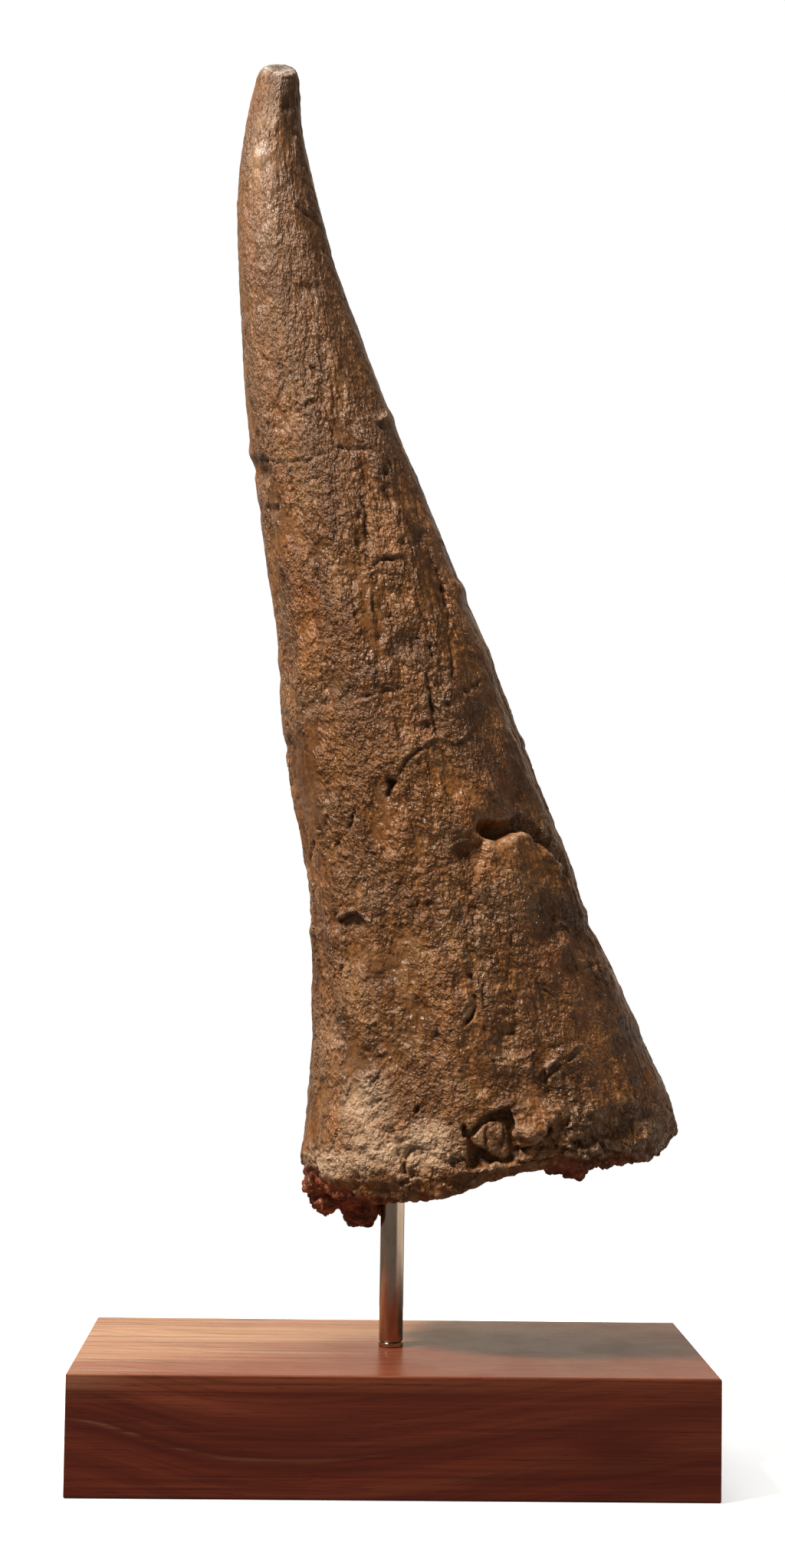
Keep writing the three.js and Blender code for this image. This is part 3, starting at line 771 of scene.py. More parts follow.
def inside_by(pixels, outline):
    """Signed distance in pixels to a closed outline, above 0 inside it."""
    ring = np.array([*outline, outline[0]], float)
    distance, _ = to_polyline(pixels, ring)
    crossings = np.zeros(len(pixels), int)
    for (x0, y0), (x1, y1) in zip(ring[:-1], ring[1:]):
        spans = (y0 > pixels[:, 1]) != (y1 > pixels[:, 1])
        with np.errstate(divide="ignore", invalid="ignore"):
            x = x0 + (pixels[:, 1] - y0) * (x1 - x0) / (y1 - y0 if y1 != y0 else 1e-9)
        crossings += spans & (pixels[:, 0] < x)
    return np.where(crossings % 2 == 1, distance, -distance)


def around(points):
    """The angle round the horn of each point."""
    z = points[:, 2]
    left, right = along(LEFT_EDGE, z), along(RIGHT_EDGE, z)
    across = (points[:, 0] - (left + right) / 2) / ((right - left) / 2)
    deep = (points[:, 1] - along(CENTRE_DEPTH, z)) / along(HALF_DEPTH, z)
    return np.arctan2(deep, across)


def facing_camera(points, normals):
    """1 where the surface faces the camera, falling to 0 at the outline and behind it."""
    sight = points - np.array(CAMERA_PLACE)
    sight /= np.linalg.norm(sight, axis=1)[:, None]
    return smoothstep(-(sight * normals).sum(1), 0.03, 0.3)


def wandering_pixels(points, reach, size, octaves, seed):
    """Where points fall in the photograph, moved about by some pixels so that drawn edges look natural."""
    shifts = [layered(points / size, octaves, seed + axis) for axis in range(2)]
    return photo_pixels(points) + reach * np.stack(shifts, 1)


def soft_spot(pixels, middle, half):
    """1 at the middle of a soft round mark, falling to 0 round it."""
    return np.exp(-(((pixels - middle) / half) ** 2).sum(1))


def front_forms(points, normals):
    """Height in millimetres of the front's big forms: the plate, its recess, the pocket and the panel."""
    pixels = wandering_pixels(points, reach=1.6, size=7, octaves=1, seed=3)
    fade = 1 - smoothstep(pixels[:, 1], *PLATE_FADES_PX)
    from_edge = inside_by(pixels, PLATE_PX)
    lip = np.exp(-(((from_edge - LIP_MIDDLE_PX) / LIP_HALF_PX) ** 2))
    height = PLATE_RISE * smoothstep(from_edge, -3, 8) * fade
    height += LIP_ROUGHNESS * layered(points / 6, 3, 62) * lip * fade
    height -= NOTCH_DEPTH * smoothstep(inside_by(pixels, NOTCH_PX), -3, 6)
    height -= NOTCH_HEART_DEPTH * soft_spot(pixels, *NOTCH_HEART_PX)
    height -= POCKET_DEPTH * smoothstep(inside_by(pixels, POCKET_PX), -2, 5)
    height += POCKET_BLOCK_RISE * smoothstep(inside_by(pixels, POCKET_BLOCK_PX), -1, 6)
    height -= PANEL_DEPTH * smoothstep(inside_by(pixels, PANEL_PX), -1, 4)
    return height * facing_camera(points, normals)


def front_details(points, normals):
    """Height in millimetres of the cracks, wrinkles, ridges and pits of the front."""
    pixels = wandering_pixels(points, reach=2.2, size=8, octaves=3, seed=5)
    patchy = np.clip(0.8 + 0.8 * noise(points / 7, 9), 0.2, 1.2)
    height = np.zeros(len(points))
    for width, rise, path in TOP_LINES + UPPER_LINES + MIDDLE_LINES + LOWER_LINES + BASE_LINES:
        distance, place = to_polyline(pixels, path)
        ends = smoothstep(place, -0.1, 0.12) * (1 - smoothstep(place, 0.88, 1.1))
        height += rise * np.exp(-((distance / (LINE_WIDTH * width)) ** 2)) * (0.3 + 0.7 * ends) * patchy
    for u, v, half_u, half_v, rise in SPOTS:
        height += rise * soft_spot(pixels, (u, v), (half_u, half_v))
    return height * facing_camera(points, normals)


def outline_details(points, normals):
    """Height in millimetres of the bumps and notches that show on the outline."""
    pixels = photo_pixels(points)
    right, _, forward = camera_axes()
    beside = 1 - smoothstep(np.abs(normals @ forward), 0.3, 0.8)
    turned_right = smoothstep(normals @ right, -0.2, 0.4)
    height = np.zeros(len(points))
    for side, v, half, rise in OUTLINE_MARKS:
        share = turned_right if side == "right" else 1 - turned_right
        height += rise * share * np.exp(-(((pixels[:, 1] - v) / half) ** 2))
    return height * beside


def broken_share(points):
    """1 on the broken underside, and 0 on the skin."""
    edge = along(RIM_HEIGHT, points[:, 0]) - along(BARK_HANGS, points[:, 0])
    return 1 - smoothstep(points[:, 2] - edge - 3 * noise(points / 8, 7), -4, 2)


def skin_details(points, flow, plain_front):
    """Height in millimetres of the skin's lumps, flutes, wrinkles, pores, cracks and flakes."""
    slender = np.clip((TIP_HEIGHT - points[:, 2]) / 600, 0.3, 1)
    lumps = 0.75 * layered(flow / (15, 15, 22), 3, 11)
    ripples = 0.3 * noise(flow / (5.5, 5.5, 4.6), 15)
    fluted = smoothstep(noise(flow / (45, 45, 110), 21), -0.1, 0.35)
    flutes = 1.1 * ridges(flow / (9, 9, 75), 20) ** 3 * fluted
    wrinkled = smoothstep(noise(flow / (38, 38, 45), 25), 0, 0.4)
    wrinkles = 0.8 * ridges(flow / (21, 21, 7), 24) ** 4 * wrinkled
    nearest, _, _ = cells(flow / (11, 11, 16), 31)
    pored = smoothstep(noise(flow / (30, 30, 40), 27), 0.05, 0.3)
    pores = 1.3 * (1 - smoothstep(nearest, 0.1, 0.26)) * pored
    warped = flow + 5 * np.stack([noise(flow / 14, seed) for seed in (33, 34, 36)], 1)
    _, gap, flake = cells(warped / (30, 30, 62), 41)
    cracked = smoothstep(noise(flow / (40, 40, 60), 35), 0, 0.3) * (1 - 0.8 * plain_front)
    cracks = 2.0 * (1 - smoothstep(gap, 0.0, 0.05)) * cracked
    flakes = 0.8 * (flake - 0.5) * smoothstep(gap, 0.0, 0.1)
    along_horn = (lumps - flutes - wrinkles + flakes) * slender
    return along_horn + ripples - pores - cracks + crust_details(points)


def crust_details(points):
    """Height in millimetres of the chipped crust near the rim, which is pebbly on the right."""
    crust = 1 - smoothstep(points[:, 2] - along(RIM_HEIGHT, points[:, 0]), 8, 46)
    twisted = points + 7 * np.stack([noise(points / 13, seed) for seed in (37, 38, 39)], 1)
    _, gap, chip = cells(twisted / (26, 26, 17), 51)
    chips = 2.2 * (chip - 0.5) * smoothstep(gap, 0, 0.06)
    cracked = smoothstep(noise(points / 24, 53), -0.25, 0.25)
    cracks = 1.6 * (1 - smoothstep(gap, 0, 0.05)) * cracked
    _, gap, pebble = cells(twisted / (11, 11, 8), 56)
    pebbly = smoothstep(points[:, 0], 50, 110)
    pebbles = (1.3 * (pebble - 0.5) - 0.6 * (1 - smoothstep(gap, 0, 0.12))) * pebbly
    lumps = 0.9 * layered(points / 12, 3, 50) - 0.6 * ridges(points / (13, 13, 10), 54) ** 3
    return crust * (chips - cracks + pebbles + lumps)


def broken_details(points):
    """Height in millimetres of the spongy broken bone under the skin."""
    lumps = 1.8 * layered(points / 11, 3, 60)
    nearest, gap, _ = cells(points / 6.5, 61)
    crumbs = 1.6 * (0.5 - nearest)
    gaps = 1.4 * (1 - smoothstep(gap, 0, 0.2))
    return lumps + crumbs - gaps


def near_bore(points):
    """0 beside the rod, so that no carving closes the bore, and 1 away from it."""
    away = np.hypot(points[:, 0], points[:, 1]) - BORE_RADIUS
    return np.where(points[:, 2] < ROD_TOP + 12, smoothstep(away, 0.6, 5), 1.0)


def edge_array(mesh):
    edges = np.empty(len(mesh.edges) * 2, np.int32)
    mesh.edges.foreach_get("vertices", edges)
    return edges.reshape(-1, 2)


def blurred(values, edges, times):
    """Values on the vertices, each averaged with its neighbours a number of times."""
    count = len(values)
    starts, ends = edges.T
    degree = np.bincount(starts, minlength=count) + np.bincount(ends, minlength=count)
    for _ in range(times):
        near = np.empty_like(values)
        for axis in range(values.shape[1]):
            column = values[:, axis]
            near[:, axis] = np.bincount(starts, column[ends], count)
            near[:, axis] += np.bincount(ends, column[starts], count)
        values = (values + near) / (degree + 1)[:, None]
    return values


def smooth_normals(mesh):
    """The normals of a mesh's vertices, without its finest relief."""
    normals = blurred(normal_array(mesh), edge_array(mesh), times=4)
    return normals / np.linalg.norm(normals, axis=1)[:, None]


def worn_tip(points):
    """Points, with those over the worn facet of the tip brought down onto it, and how worn each is."""
    normal = np.array(FACET_NORMAL) / np.linalg.norm(FACET_NORMAL)
    over = (points - FACET_POINT) @ normal
    worn = smoothstep(over, -0.8, 0.6)
    lowered = np.maximum(over - FACET_ROUGHNESS * noise(points / FACET_GRAIN, 8), 0)
    return points - lowered[:, None] * normal, worn


def bored(piece):
    """Cuts the blind hole for the rod."""
    top = ROD_TOP + CLEARANCE
    made = bmesh.new()
    bmesh.ops.create_cone(
        made, cap_ends=True, segments=ROUND_SEGMENTS, radius1=BORE_RADIUS * MM, radius2=BORE_RADIUS * MM,
        depth=(top - BORE_CUT_FROM) * MM,
    )
    mesh = bpy.data.meshes.new("bore")
    made.to_mesh(mesh)
    made.free()
    cutter = linked("bore", mesh)
    cutter.location.z = (top + BORE_CUT_FROM) / 2 * MM
    bpy.context.view_layer.update()
    applied(piece, "BOOLEAN", operation="DIFFERENCE", object=cutter, solver="MANIFOLD")
    bpy.data.objects.remove(cutter)


def build_horn():
    """The carved horn, with the values that its material reads kept on its vertices."""
    body = loft("fossil_horn", horn_rings())
    piece = joined("fossil_horn", [body, *(lump(*shape) for shape in lump_shapes())])
    applied(piece, "REMESH", mode="VOXEL", voxel_size=VOXEL * MM)
    points, normals = vertex_array(piece.data), smooth_normals(piece.data)
    forms = front_forms(points, normals) * near_bore(points)
    set_vertices(piece.data, points + normals * forms[:, None])
    bored(piece)
    applied(piece, "REMESH", mode="VOXEL", voxel_size=VOXEL * MM)

    points, worn = worn_tip(vertex_array(piece.data))
    normals = smooth_normals(piece.data)
    flow = flow_of(points)
    broken = broken_share(points)
    front = facing_camera(points, normals)
    details = front_details(points, normals) + outline_details(points, normals)
    in_pocket = front * smoothstep(inside_by(photo_pixels(points), POCKET_PX), -2, 3)
    skin = skin_details(points, flow, front) * (1 - worn) * (1 - 0.8 * in_pocket)
    height = (1 - broken) * skin + broken * broken_details(points) + details
    moved = points + normals * (height * near_bore(points))[:, None]
    set_vertices(piece.data, moved)

    even = blurred(moved, edge_array(piece.data), times=int((EVENED_OVER / VOXEL) ** 2))
    kept = {
        "flow": flow / FLOW_UNIT,
        "raised": ((moved - even) * normals).sum(1),
        "hollow": np.clip(-details / DARKEST_DEPTH, 0, 1),
        "broken": broken,
        "worn": worn,
        # The front's paler and darker patches, partly painted highlight and painted shade
        "tone_and_painted_light": front_patches(points, TONES_AND_PAINTED_LIGHT) * front,
        "smooth": front_patches(points, SMOOTH_PATCHES) * front,
    }
    for name, values in kept.items():
        add_attribute(piece.data, name, values)
    triangles = sum(len(f.vertices) - 2 for f in piece.data.polygons)
    applied(piece, "DECIMATE", ratio=min(1.0, MOST_TRIANGLES / triangles))
    piece.data.shade_smooth()
    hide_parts("horn")
    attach(piece, "root")
    piece.data.materials.clear()
    piece.data.materials.append(bone_material())


def flow_of(points):
    """Coordinates in millimetres that follow the horn up its length, so that marks drawn in them do too."""
    angle = around(points)
    z = points[:, 2]
    girth = (along(RIGHT_EDGE, z) - along(LEFT_EDGE, z)) / 4 + along(HALF_DEPTH, z) / 2
    radius = 24 + 0.6 * girth
    return np.stack([radius * np.cos(angle), radius * np.sin(angle), z], 1)


def front_patches(points, patches):
    """The sum of some soft patches of the front, each with its own strength."""
    pixels = wandering_pixels(points, reach=8, size=14, octaves=1, seed=71)
    total = np.zeros(len(points))
    for u, v, half_u, half_v, strength in patches:
        total += strength * soft_spot(pixels, (u, v), (half_u, half_v))
    return np.clip(total, -1, 1)


def lathe(name, profile):
    """A closed turned solid from the radii and heights of its profile, from the bottom to the top."""
    made = bmesh.new()
    turned = np.radians(np.arange(ROUND_SEGMENTS) * 360 / ROUND_SEGMENTS)
    rings = []
    for radius, z in profile:
        places = [(radius * math.cos(a), radius * math.sin(a), z) for a in turned]
        rings.append([made.verts.new(Vector(place) * MM) for place in places])
    for low, high in zip(rings[:-1], rings[1:]):
        for i in range(ROUND_SEGMENTS):
            j = (i + 1) % ROUND_SEGMENTS
            made.faces.new((low[i], low[j], high[j], high[i]))
    made.faces.new(rings[0][::-1])
    made.faces.new(rings[-1])
    mesh = bpy.data.meshes.new(name)
    made.to_mesh(mesh)
    made.free()
    mesh.shade_smooth()
    mesh.set_sharp_from_angle(angle=math.radians(35))
    return linked(name, mesh)


def rounded_edge(radius, z, bevel, rises, steps=4):
    """Profile points of a rounded edge, of a part that is widest beyond the edge (rises) or before it."""
    turns = [math.pi / 2 * step / steps for step in range(steps + 1)]
    if rises:
        return [(radius - bevel + bevel * math.sin(t), z + bevel - bevel * math.cos(t)) for t in turns]
    return [(radius - bevel + bevel * math.cos(t), z - bevel + bevel * math.sin(t)) for t in turns]


def build_stand():
    """The rod and its washer turned smoothly, and the varnish on the block."""
    washer_bottom = BLOCK_HEIGHT + CLEARANCE
    washer_top = washer_bottom + WASHER_THICKNESS
    shoulder = washer_top + CLEARANCE
    metal = steel_material()
    washer = lathe("washer_ring", [
        *rounded_edge(WASHER_RADIUS, washer_bottom, WASHER_BEVEL, True),
        *rounded_edge(WASHER_RADIUS, washer_top, WASHER_BEVEL, False),
    ])
    rod = lathe("steel_rod", [
        *rounded_edge(ROD_RADIUS, shoulder, ROD_BEVEL, True),
        *rounded_edge(ROD_RADIUS, ROD_TOP, ROD_BEVEL, False),
    ])
    for piece, node in ((rod, "rod"), (washer, "washer")):
        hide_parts(node)
        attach(piece, "root")
        piece.data.materials.append(metal)
    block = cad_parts["block"]
    wood = wood_material()
    for place in block.material_slots:
        place.material = wood


class Nodes:
    """Adds nodes to a tree, with short calls for the kinds that are used most."""

    def __init__(self, tree):
        self.tree = tree

    def add(self, kind, inputs=(), **settings):
        """A new node with its settings made and its inputs set or linked."""
        node = self.tree.nodes.new("ShaderNode" + kind)
        for key, value in settings.items():
            setattr(node, key, value)
        for socket, value in dict(inputs).items():
            self.feed(node.inputs[socket], value)
        return node

    def feed(self, socket, value):
        if isinstance(value, bpy.types.NodeSocket):
            self.tree.links.new(value, socket)
        elif isinstance(value, tuple) and len(value) == 3 and socket.type == "RGBA":
            socket.default_value = (*value, 1)
        else:
            socket.default_value = value

    def math(self, operation, *values):
        return self.add("Math", enumerate(values), operation=operation).outputs[0]

    def times(self, first, second):
        return self.math("MULTIPLY", first, second)

    def total(self, *values):
        result = values[0]
        for value in values[1:]:
            result = self.math("ADD", result, value)
        return result

    def remap(self, value, low, high, to_low=0.0, to_high=1.0):
        """A value moved smoothly from one range to another, and held at its ends."""
        values = {0: value, 1: low, 2: high, 3: to_low, 4: to_high}
        return self.add("MapRange", values, interpolation_type="SMOOTHSTEP").outputs[0]

    def attribute(self, name, output="Fac"):
        return self.add("Attribute", attribute_name=name).outputs[output]

    def place(self):
        return self.add("TexCoord").outputs["Object"]

    def split(self, vector):
        return list(self.add("SeparateXYZ", {0: vector}).outputs)

    def stretched(self, vector, scale):
        return self.add("Mapping", {"Vector": vector, "Scale": scale}).outputs[0]

    def noise(self, vector, scale, detail=2.0, roughness=0.5, distortion=0.0):
        inputs = {"Vector": vector, "Scale": scale, "Detail": detail}
        inputs.update({"Roughness": roughness, "Distortion": distortion})
        return self.add("TexNoise", inputs).outputs["Fac"]

    def cells(self, vector, scale):
        return self.add("TexVoronoi", {"Vector": vector, "Scale": scale}).outputs["Distance"]

    def mix(self, share, first, second, blend="MIX"):
        inputs = {0: share, 6: first, 7: second}
        return self.add("Mix", inputs, data_type="RGBA", blend_type=blend).outputs[2]

    def shaded(self, color, share):
        """A colour made darker or lighter all over."""
        grey = self.add("CombineColor", {i: share for i in range(3)}).outputs[0]
        return self.mix(1.0, color, grey, "MULTIPLY")

    def bump(self, millimetres):
        """A normal from a height in millimetres."""
        return self.add("Bump", {"Height": millimetres, "Distance": MM, "Strength": 1.0}).outputs[0]


class Surface(Nodes):
    """The nodes of a new material."""

    def __init__(self, name):
        self.material = bpy.data.materials.new(name)
        self.material.use_nodes = True
        super().__init__(self.material.node_tree)

    def finish(self, **inputs):
        """The material, with the inputs of its shader set or linked."""
        shader = self.tree.nodes["Principled BSDF"]
        for socket, value in inputs.items():
            self.feed(shader.inputs[socket.replace("_", " ")], value)
        return self.material


def skin_color(n, flow, tipward):
    """The browns of the skin in patches and streaks, with painted highlight on crests and painted shade in
    hollows.
    """
    patches = n.noise(n.stretched(flow, (1, 1, 0.4)), 0.4, 6, 0.62)
    color = n.mix(n.remap(patches, 0.34, 0.66), DARK_BROWN, MID_BROWN)
    golden = n.noise(n.stretched(flow, (1, 1, 0.5)), 0.5, 5, 0.6, 0.4)
    color = n.mix(n.remap(golden, 0.48, 0.72, 0.0, 0.75), color, GOLDEN_BROWN)
    ruddy = n.noise(n.stretched(flow, (1, 1, 0.35)), 0.42, 4, 0.6)
    color = n.mix(n.remap(ruddy, 0.5, 0.7, 0.0, 0.6), color, RED_BROWN)
    grey = n.noise(flow, 0.27, 5, 0.6)
    color = n.mix(n.remap(grey, 0.5, 0.72, 0.0, 0.6), color, GREY_BROWN)
    color = n.mix(n.times(tipward, 0.45), color, GREY_BROWN)
    streaks = n.noise(n.stretched(flow, (1, 1, 0.06)), 2.6, 3, 0.6)
    color = n.shaded(color, n.remap(streaks, 0.3, 0.7, 0.72, 1.18))
    speckle = n.noise(flow, 4.5, 4, 0.7)
    color = n.shaded(color, n.remap(speckle, 0.3, 0.7, 0.8, 1.18))
    raised = n.attribute("raised")
    tone_and_painted_light = n.attribute("tone_and_painted_light")
    # Crests made paler: painted highlight
    color = n.mix(n.remap(raised, 0.1, 0.9, 0.0, 0.3), color, PALE_BROWN_AND_HIGHLIGHT)
    # Hollows made darker: painted shade
    color = n.mix(n.remap(raised, -0.15, -1.2, 0.0, 0.6), color, CREVICE_SHADE)
    # The front's patches: painted highlight where paler and painted shade where darker, with some real
    # paler bone
    color = n.mix(n.remap(tone_and_painted_light, 0.0, 1.0, 0.0, 0.8), color, PALE_BROWN_AND_HIGHLIGHT)
    color = n.mix(n.remap(tone_and_painted_light, 0.0, -1.0, 0.0, 0.8), color, CREVICE_SHADE)
    # Drawn cracks and pits made darker: painted shade
    return n.mix(n.times(n.attribute("hollow"), 0.3), color, CREVICE_SHADE)


def broken_color(n, place):
    """The reds of the spongy bone in the break, with pale grit."""
    sponge = n.noise(place, 90.0, 5, 0.65)
    red = n.mix(n.remap(sponge, 0.35, 0.68), BROKEN_DARK, BROKEN_RED)
    grit = n.remap(n.cells(place, 260.0), 0.3, 0.1)
    return n.mix(n.times(grit, n.remap(n.noise(place, 60.0), 0.5, 0.62)), red, GRIT)


def skin_relief(n, flow, height, tipward):
    """Height in millimetres of the finest lumps, crumples, pits and streaks of the skin."""
    smooth = n.attribute("smooth")
    uneven = n.remap(n.noise(n.stretched(flow, (1, 1, 0.6)), 0.4, 4, 0.6), 0.34, 0.56, 0.35, 1.2)
    upward = n.remap(height, 560.0, 860.0, 1.0, 0.5)
    strength = n.times(n.times(uneven, upward), n.remap(smooth, 0.0, 1.0, 1.0, 0.3))
    grained = n.stretched(flow, (1, 1, 0.66))
    lumpy = n.times(n.noise(grained, 1.4, 3, 0.5), 3.6)
    pebbly = n.times(n.noise(grained, 3.8, 3, 0.6), 3.5)
    crumple = n.math("ABSOLUTE", n.math("SUBTRACT", n.noise(grained, 2.4, 2, 0.5), 0.5))
    crumple = n.times(crumple, 4.0)
    pits = n.remap(n.cells(flow, 2.6), 0.22, 0.05, 0.0, -0.5)
    striped = n.remap(n.noise(flow, 0.45, 3, 0.6), 0.46, 0.6, 0.35, 1.3)
    striped = n.math("MAXIMUM", striped, n.remap(smooth, 0.0, 1.0))
    striped = n.times(striped, n.remap(tipward, 0.0, 1.0, 1.0, 0.55))
    streaks = n.times(n.noise(n.stretched(flow, (1, 1, 0.09)), 4.2, 4, 0.6), striped)
    return n.total(n.times(n.total(lumpy, pebbly, crumple, pits), strength), streaks)


def broken_relief(n, place):
    """Height in millimetres of the crumbs of the broken bone."""
    crumbs = n.times(n.noise(place, 240.0, 6, 0.6), 2.4)
    return n.total(crumbs, n.remap(n.cells(place, 420.0), 0.5, 0.1, 0.0, -0.8))


def bone_material():
    """Weathered brown fossil bone under a thin gloss, redder and matt where it is broken."""
    n = Surface("fossil_bone")
    flow = n.attribute("flow", "Vector")
    place = n.place()
    broken = n.attribute("broken")
    worn = n.attribute("worn")
    height = n.times(n.split(flow)[2], FLOW_UNIT)
    tipward = n.remap(height, 520.0, 800.0)
    color = n.mix(broken, skin_color(n, flow, tipward), broken_color(n, place))
    chalk = n.mix(n.remap(n.noise(place, 170.0, 4, 0.6), 0.44, 0.58), WORN_DARK, WORN_PALE)
    color = n.mix(n.times(worn, 0.9), color, chalk)
    fine = skin_relief(n, flow, height, tipward)
    relief = n.add("Mix", {0: broken, 2: fine, 3: broken_relief(n, place)}, data_type="FLOAT").outputs[0]
    gloss = n.noise(n.stretched(flow, (1, 1, 0.6)), 0.6, 5, 0.65)
    duller = n.total(
        n.times(n.math("MAXIMUM", broken, worn), 0.35),
        n.times(n.attribute("hollow"), 0.2),
        n.times(tipward, 0.08),
    )
    roughness = n.math("MINIMUM", n.total(n.remap(gloss, 0.3, 0.7, 0.2, 0.4), duller), 0.95)
    return n.finish(Base_Color=color, Roughness=roughness, Normal=n.bump(relief), IOR=BONE_GLOSS_IOR)


def steel_material():
    """Satin steel bar tinted warm brown as painted reflection, with fine lines drawn along it and a few
    smudges.
    """
    n = Surface("rod_steel")
    place = n.place()
    lines = n.noise(n.stretched(place, (1400, 1400, 12)), 1.0, 3, 0.6)
    smudges = n.noise(n.stretched(place, (1, 1, 0.4)), 70.0, 4, 0.6)
    color = n.mix(n.remap(smudges, 0.35, 0.7), STEEL_DARK, STEEL_PALE)
    color = n.mix(n.remap(lines, 0.45, 0.75, 0.0, 0.4), color, STEEL_DARK)
    roughness = n.total(n.remap(lines, 0.3, 0.7, 0.18, 0.24), n.remap(smudges, 0.4, 0.7, 0.0, 0.06))
    relief = n.times(lines, 0.004)
    return n.finish(Base_Color=color, Metallic=1.0, Roughness=roughness, Normal=n.bump(relief))


def wood_knot(n, x, z):
    """1 in the middle of the faint knot, falling to 0 round it."""
    across = n.math("DIVIDE", n.math("SUBTRACT", x, KNOT_X), KNOT_HALF_X)
    upward = n.math("DIVIDE", n.math("SUBTRACT", z, KNOT_Z), KNOT_HALF_Z)
    away = n.total(n.math("POWER", across, 2), n.math("POWER", upward, 2))
    return n.math("EXPONENT", n.times(away, -1.0))


def wood_depth(n, place, knot):
    """Depth in metres across the rings, the same all along one ring, which bows along the block."""
    x, y, z = n.split(place)
    sway = n.noise(n.stretched(place, (2.6, 1.5, 1.5)), 1.0, 2, 0.4)
    drift = n.noise(n.stretched(place, (1.6, 9.0, 12.0)), 1.0, 3, 0.5)
    bow = n.total(n.remap(x, -0.1, -0.21, 0.0, -0.018), n.remap(x, -0.08, 0.2, 0.0, -0.026))
    plain = n.total(n.times(y, 0.55), n.times(z, 0.8), bow)
    return n.total(plain, n.times(sway, 0.016), n.times(drift, 0.01), n.times(knot, 0.008))


def tanned_and_lit_top(n, color, place):
    """The block's top face: redder, and tan in bands to its back left, partly painted light on the lit top.
    """
    x, y, z = n.split(place)
    lit_top = n.remap(z, TOP_BEGINS, TOP_FULL)
    bands = n.noise(n.stretched(place, (1.6, 70.0, 20.0)), 1.0, 5, 0.6)
    sloped = n.total(y, n.times(x, -0.5), n.times(bands, 0.12))
    tan = n.times(n.remap(sloped, 0.03, 0.13), n.remap(bands, 0.35, 0.6, 0.5, 1.0))
    # Tan laid on the top face only, partly as painted light on the lit top
    return n.mix(n.times(tan, lit_top), color, WOOD_TAN)


def wood_material():
    """Red hardwood whose rings run along the block, under a clear varnish."""
    n = Surface("red_hardwood")
    place = n.place()
    x, _, z = n.split(place)
    knot = wood_knot(n, x, z)
    depth = wood_depth(n, place, knot)
    rings = n.add("CombineXYZ", {0: depth, 1: n.times(x, 0.02), 2: 0.0}).outputs[0]
    grain = n.noise(n.stretched(place, (3.0, 210.0, 420.0)), 1.0, 4, 0.7)
    color = n.mix(n.remap(n.noise(rings, 70.0, 4, 0.6), 0.3, 0.7), WOOD_DARK, WOOD_RED)
    stripe = n.remap(n.noise(rings, 30.0, 3, 0.6), 0.46, 0.64, 0.0, 0.4)
    # The rings' paler stripes, and a paler top face that is painted light on the lit top
    lit_top = n.remap(z, TOP_BEGINS, TOP_FULL, 0.0, 0.75)
    color = n.mix(n.math("MAXIMUM", stripe, lit_top), color, WOOD_PALE)
    color = tanned_and_lit_top(n, color, place)
    from_ring = n.math("ABSOLUTE", n.total(depth, n.times(grain, 0.003), -PALE_RING))
    pale_ring = n.times(n.remap(from_ring, 0.0014, 0.0), n.remap(x, 0.08, -0.1))
    color = n.mix(n.times(pale_ring, n.remap(grain, 0.6, 0.4, 0.0, 0.2)), color, WOOD_TAN)
    thin = n.noise(rings, 330.0, 6, 0.7)
    fibres = n.noise(n.stretched(place, (5, 900, 900)), 1.0, 4, 0.65)
    pores = n.remap(n.noise(n.stretched(place, (45, 1600, 1600)), 1.0, 2, 0.5), 0.62, 0.7)
    for share, layer in (
        (n.remap(thin, 0.5, 0.62, 0.0, 0.4), WOOD_DARK),
        (n.remap(thin, 0.44, 0.34, 0.0, 0.15), WOOD_PALE),
        (n.remap(grain, 0.5, 0.66, 0.0, 0.6), WOOD_DARK),
        (n.remap(grain, 0.44, 0.32, 0.0, 0.3), WOOD_PALE),
        (n.remap(fibres, 0.48, 0.68, 0.0, 0.35), WOOD_DARK),
        (n.times(pores, 0.5), WOOD_PORE),
        (n.times(n.total(n.remap(x, -0.2, 0.2), knot), 0.42), WOOD_DARK),
    ):
        color = n.mix(share, color, layer)
    relief = n.total(n.times(pores, -0.03), n.times(fibres, 0.01))
    roughness = n.remap(n.noise(place, 22.0, 4, 0.6), 0.3, 0.7, 0.24, 0.32)
    return n.finish(Base_Color=color, Roughness=roughness, Normal=n.bump(relief), IOR=VARNISH_IOR)


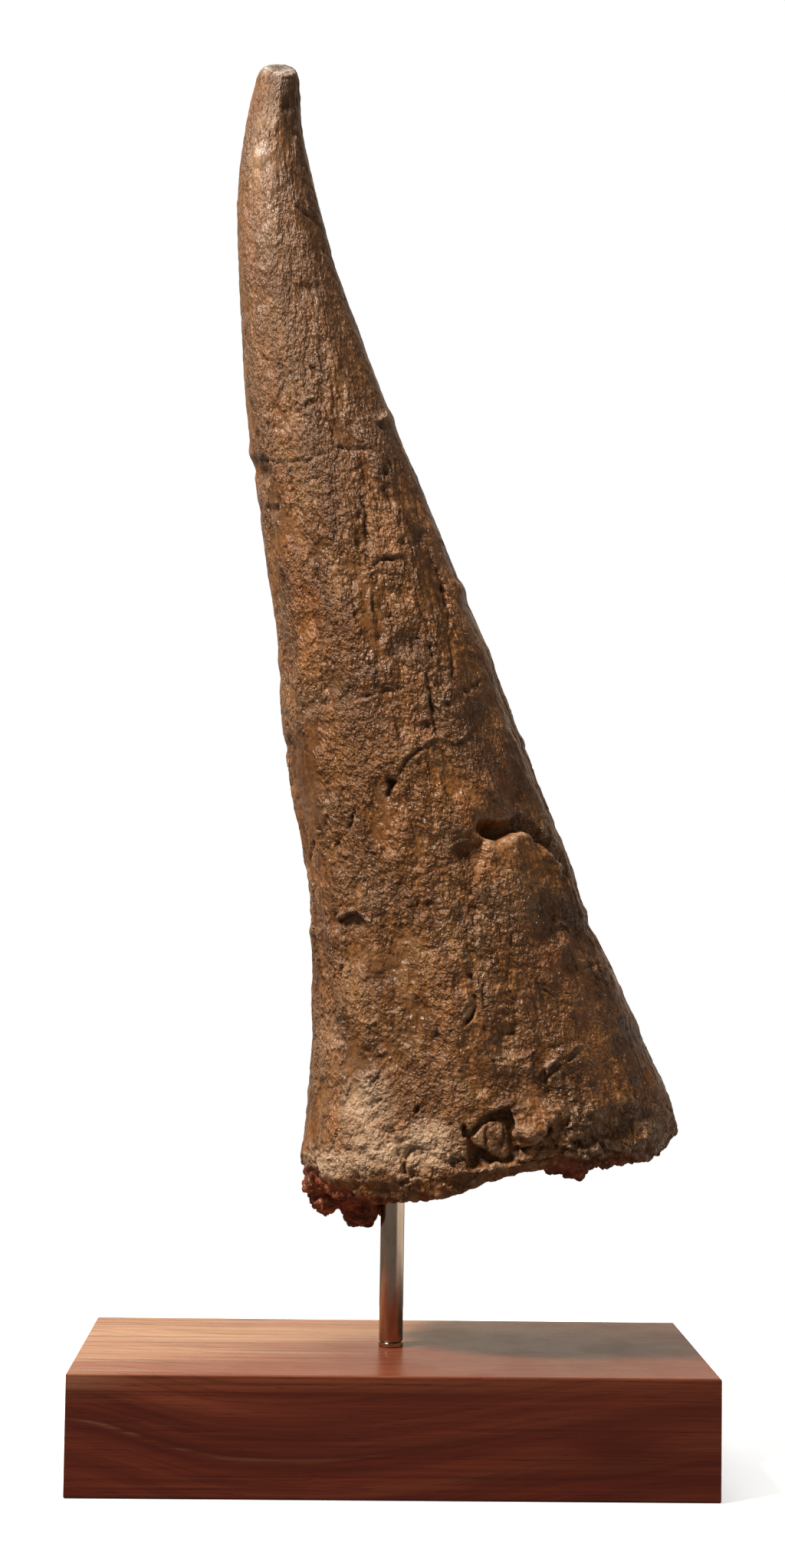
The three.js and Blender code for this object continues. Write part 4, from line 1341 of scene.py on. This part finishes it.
def add_floor():
    """A plain pale floor that fades into the white surroundings, and that throws little light back up."""
    mesh = bpy.data.meshes.new("floor")
    made = bmesh.new()
    bmesh.ops.create_circle(made, cap_ends=True, segments=128, radius=FLOOR_RADIUS)
    made.to_mesh(mesh)
    made.free()
    floor = linked("floor", mesh)
    floor.location.z = -FLOOR_GAP
    n = Surface("floor")
    seen = n.add("LightPath").outputs["Is Camera Ray"]
    color = n.mix(seen, (FLOOR_BOUNCED,) * 3, (FLOOR_SHOWN,) * 3)
    glow = n.times(seen, FLOOR_GLOW)
    matt = n.finish(Base_Color=color, Roughness=0.9, IOR=1.1, Emission_Color=WHITE, Emission_Strength=glow)
    mesh.materials.append(matt)


def add_light(name, azimuth, elevation, away, width, height, watts, color):
    """A soft box that looks at the horn, from the left of the front (azimuth above 0) and from above."""
    data = bpy.data.lights.new(name, "AREA")
    data.shape = "RECTANGLE"
    data.size, data.size_y = width, height
    data.energy = watts
    data.color = color
    light = bpy.data.objects.new(name, data)
    bpy.context.scene.collection.objects.link(light)
    turned, raised = math.radians(azimuth), math.radians(elevation)
    level = Vector((-math.sin(turned), -math.cos(turned), 0.0)) * math.cos(raised)
    back = level + Vector((0.0, 0.0, math.sin(raised)))
    light.location = Vector(LIGHTS_AIM) + back * away
    light.rotation_euler = (-back).to_track_quat("-Z", "Y").to_euler()


def add_surroundings():
    """White to the camera; to everything else a dim studio with a paler ground and a pale backdrop."""
    world = bpy.data.worlds.new("studio")
    bpy.context.scene.world = world
    world.use_nodes = True
    world.node_tree.nodes.clear()
    n = Nodes(world.node_tree)
    toward = n.add("TexCoord").outputs["Generated"]
    up = n.split(toward)[2]
    color = n.mix(n.remap(up, 0.02, -0.1), (ROOM_BRIGHTNESS,) * 3, (GROUND_BRIGHTNESS,) * 3)
    facing = n.add("VectorMath", {0: toward, 1: BACKDROP_TOWARD}, operation="DOT_PRODUCT")
    color = n.mix(n.remap(facing.outputs["Value"], BACKDROP_STARTS, BACKDROP_FULL), color, BACKDROP)
    room = n.add("Background", {"Color": color}).outputs[0]
    white = n.add("Background", {"Color": WHITE}).outputs[0]
    seen = n.add("LightPath").outputs["Is Camera Ray"]
    either = n.add("MixShader", {0: seen, 1: room, 2: white}).outputs[0]
    n.add("OutputWorld", {0: either})


add_camera()
bpy.context.scene.view_settings.view_transform = "Standard"
add_surroundings()
add_floor()
for softbox in SOFTBOXES:
    add_light(*softbox)
build_stand()
build_horn()
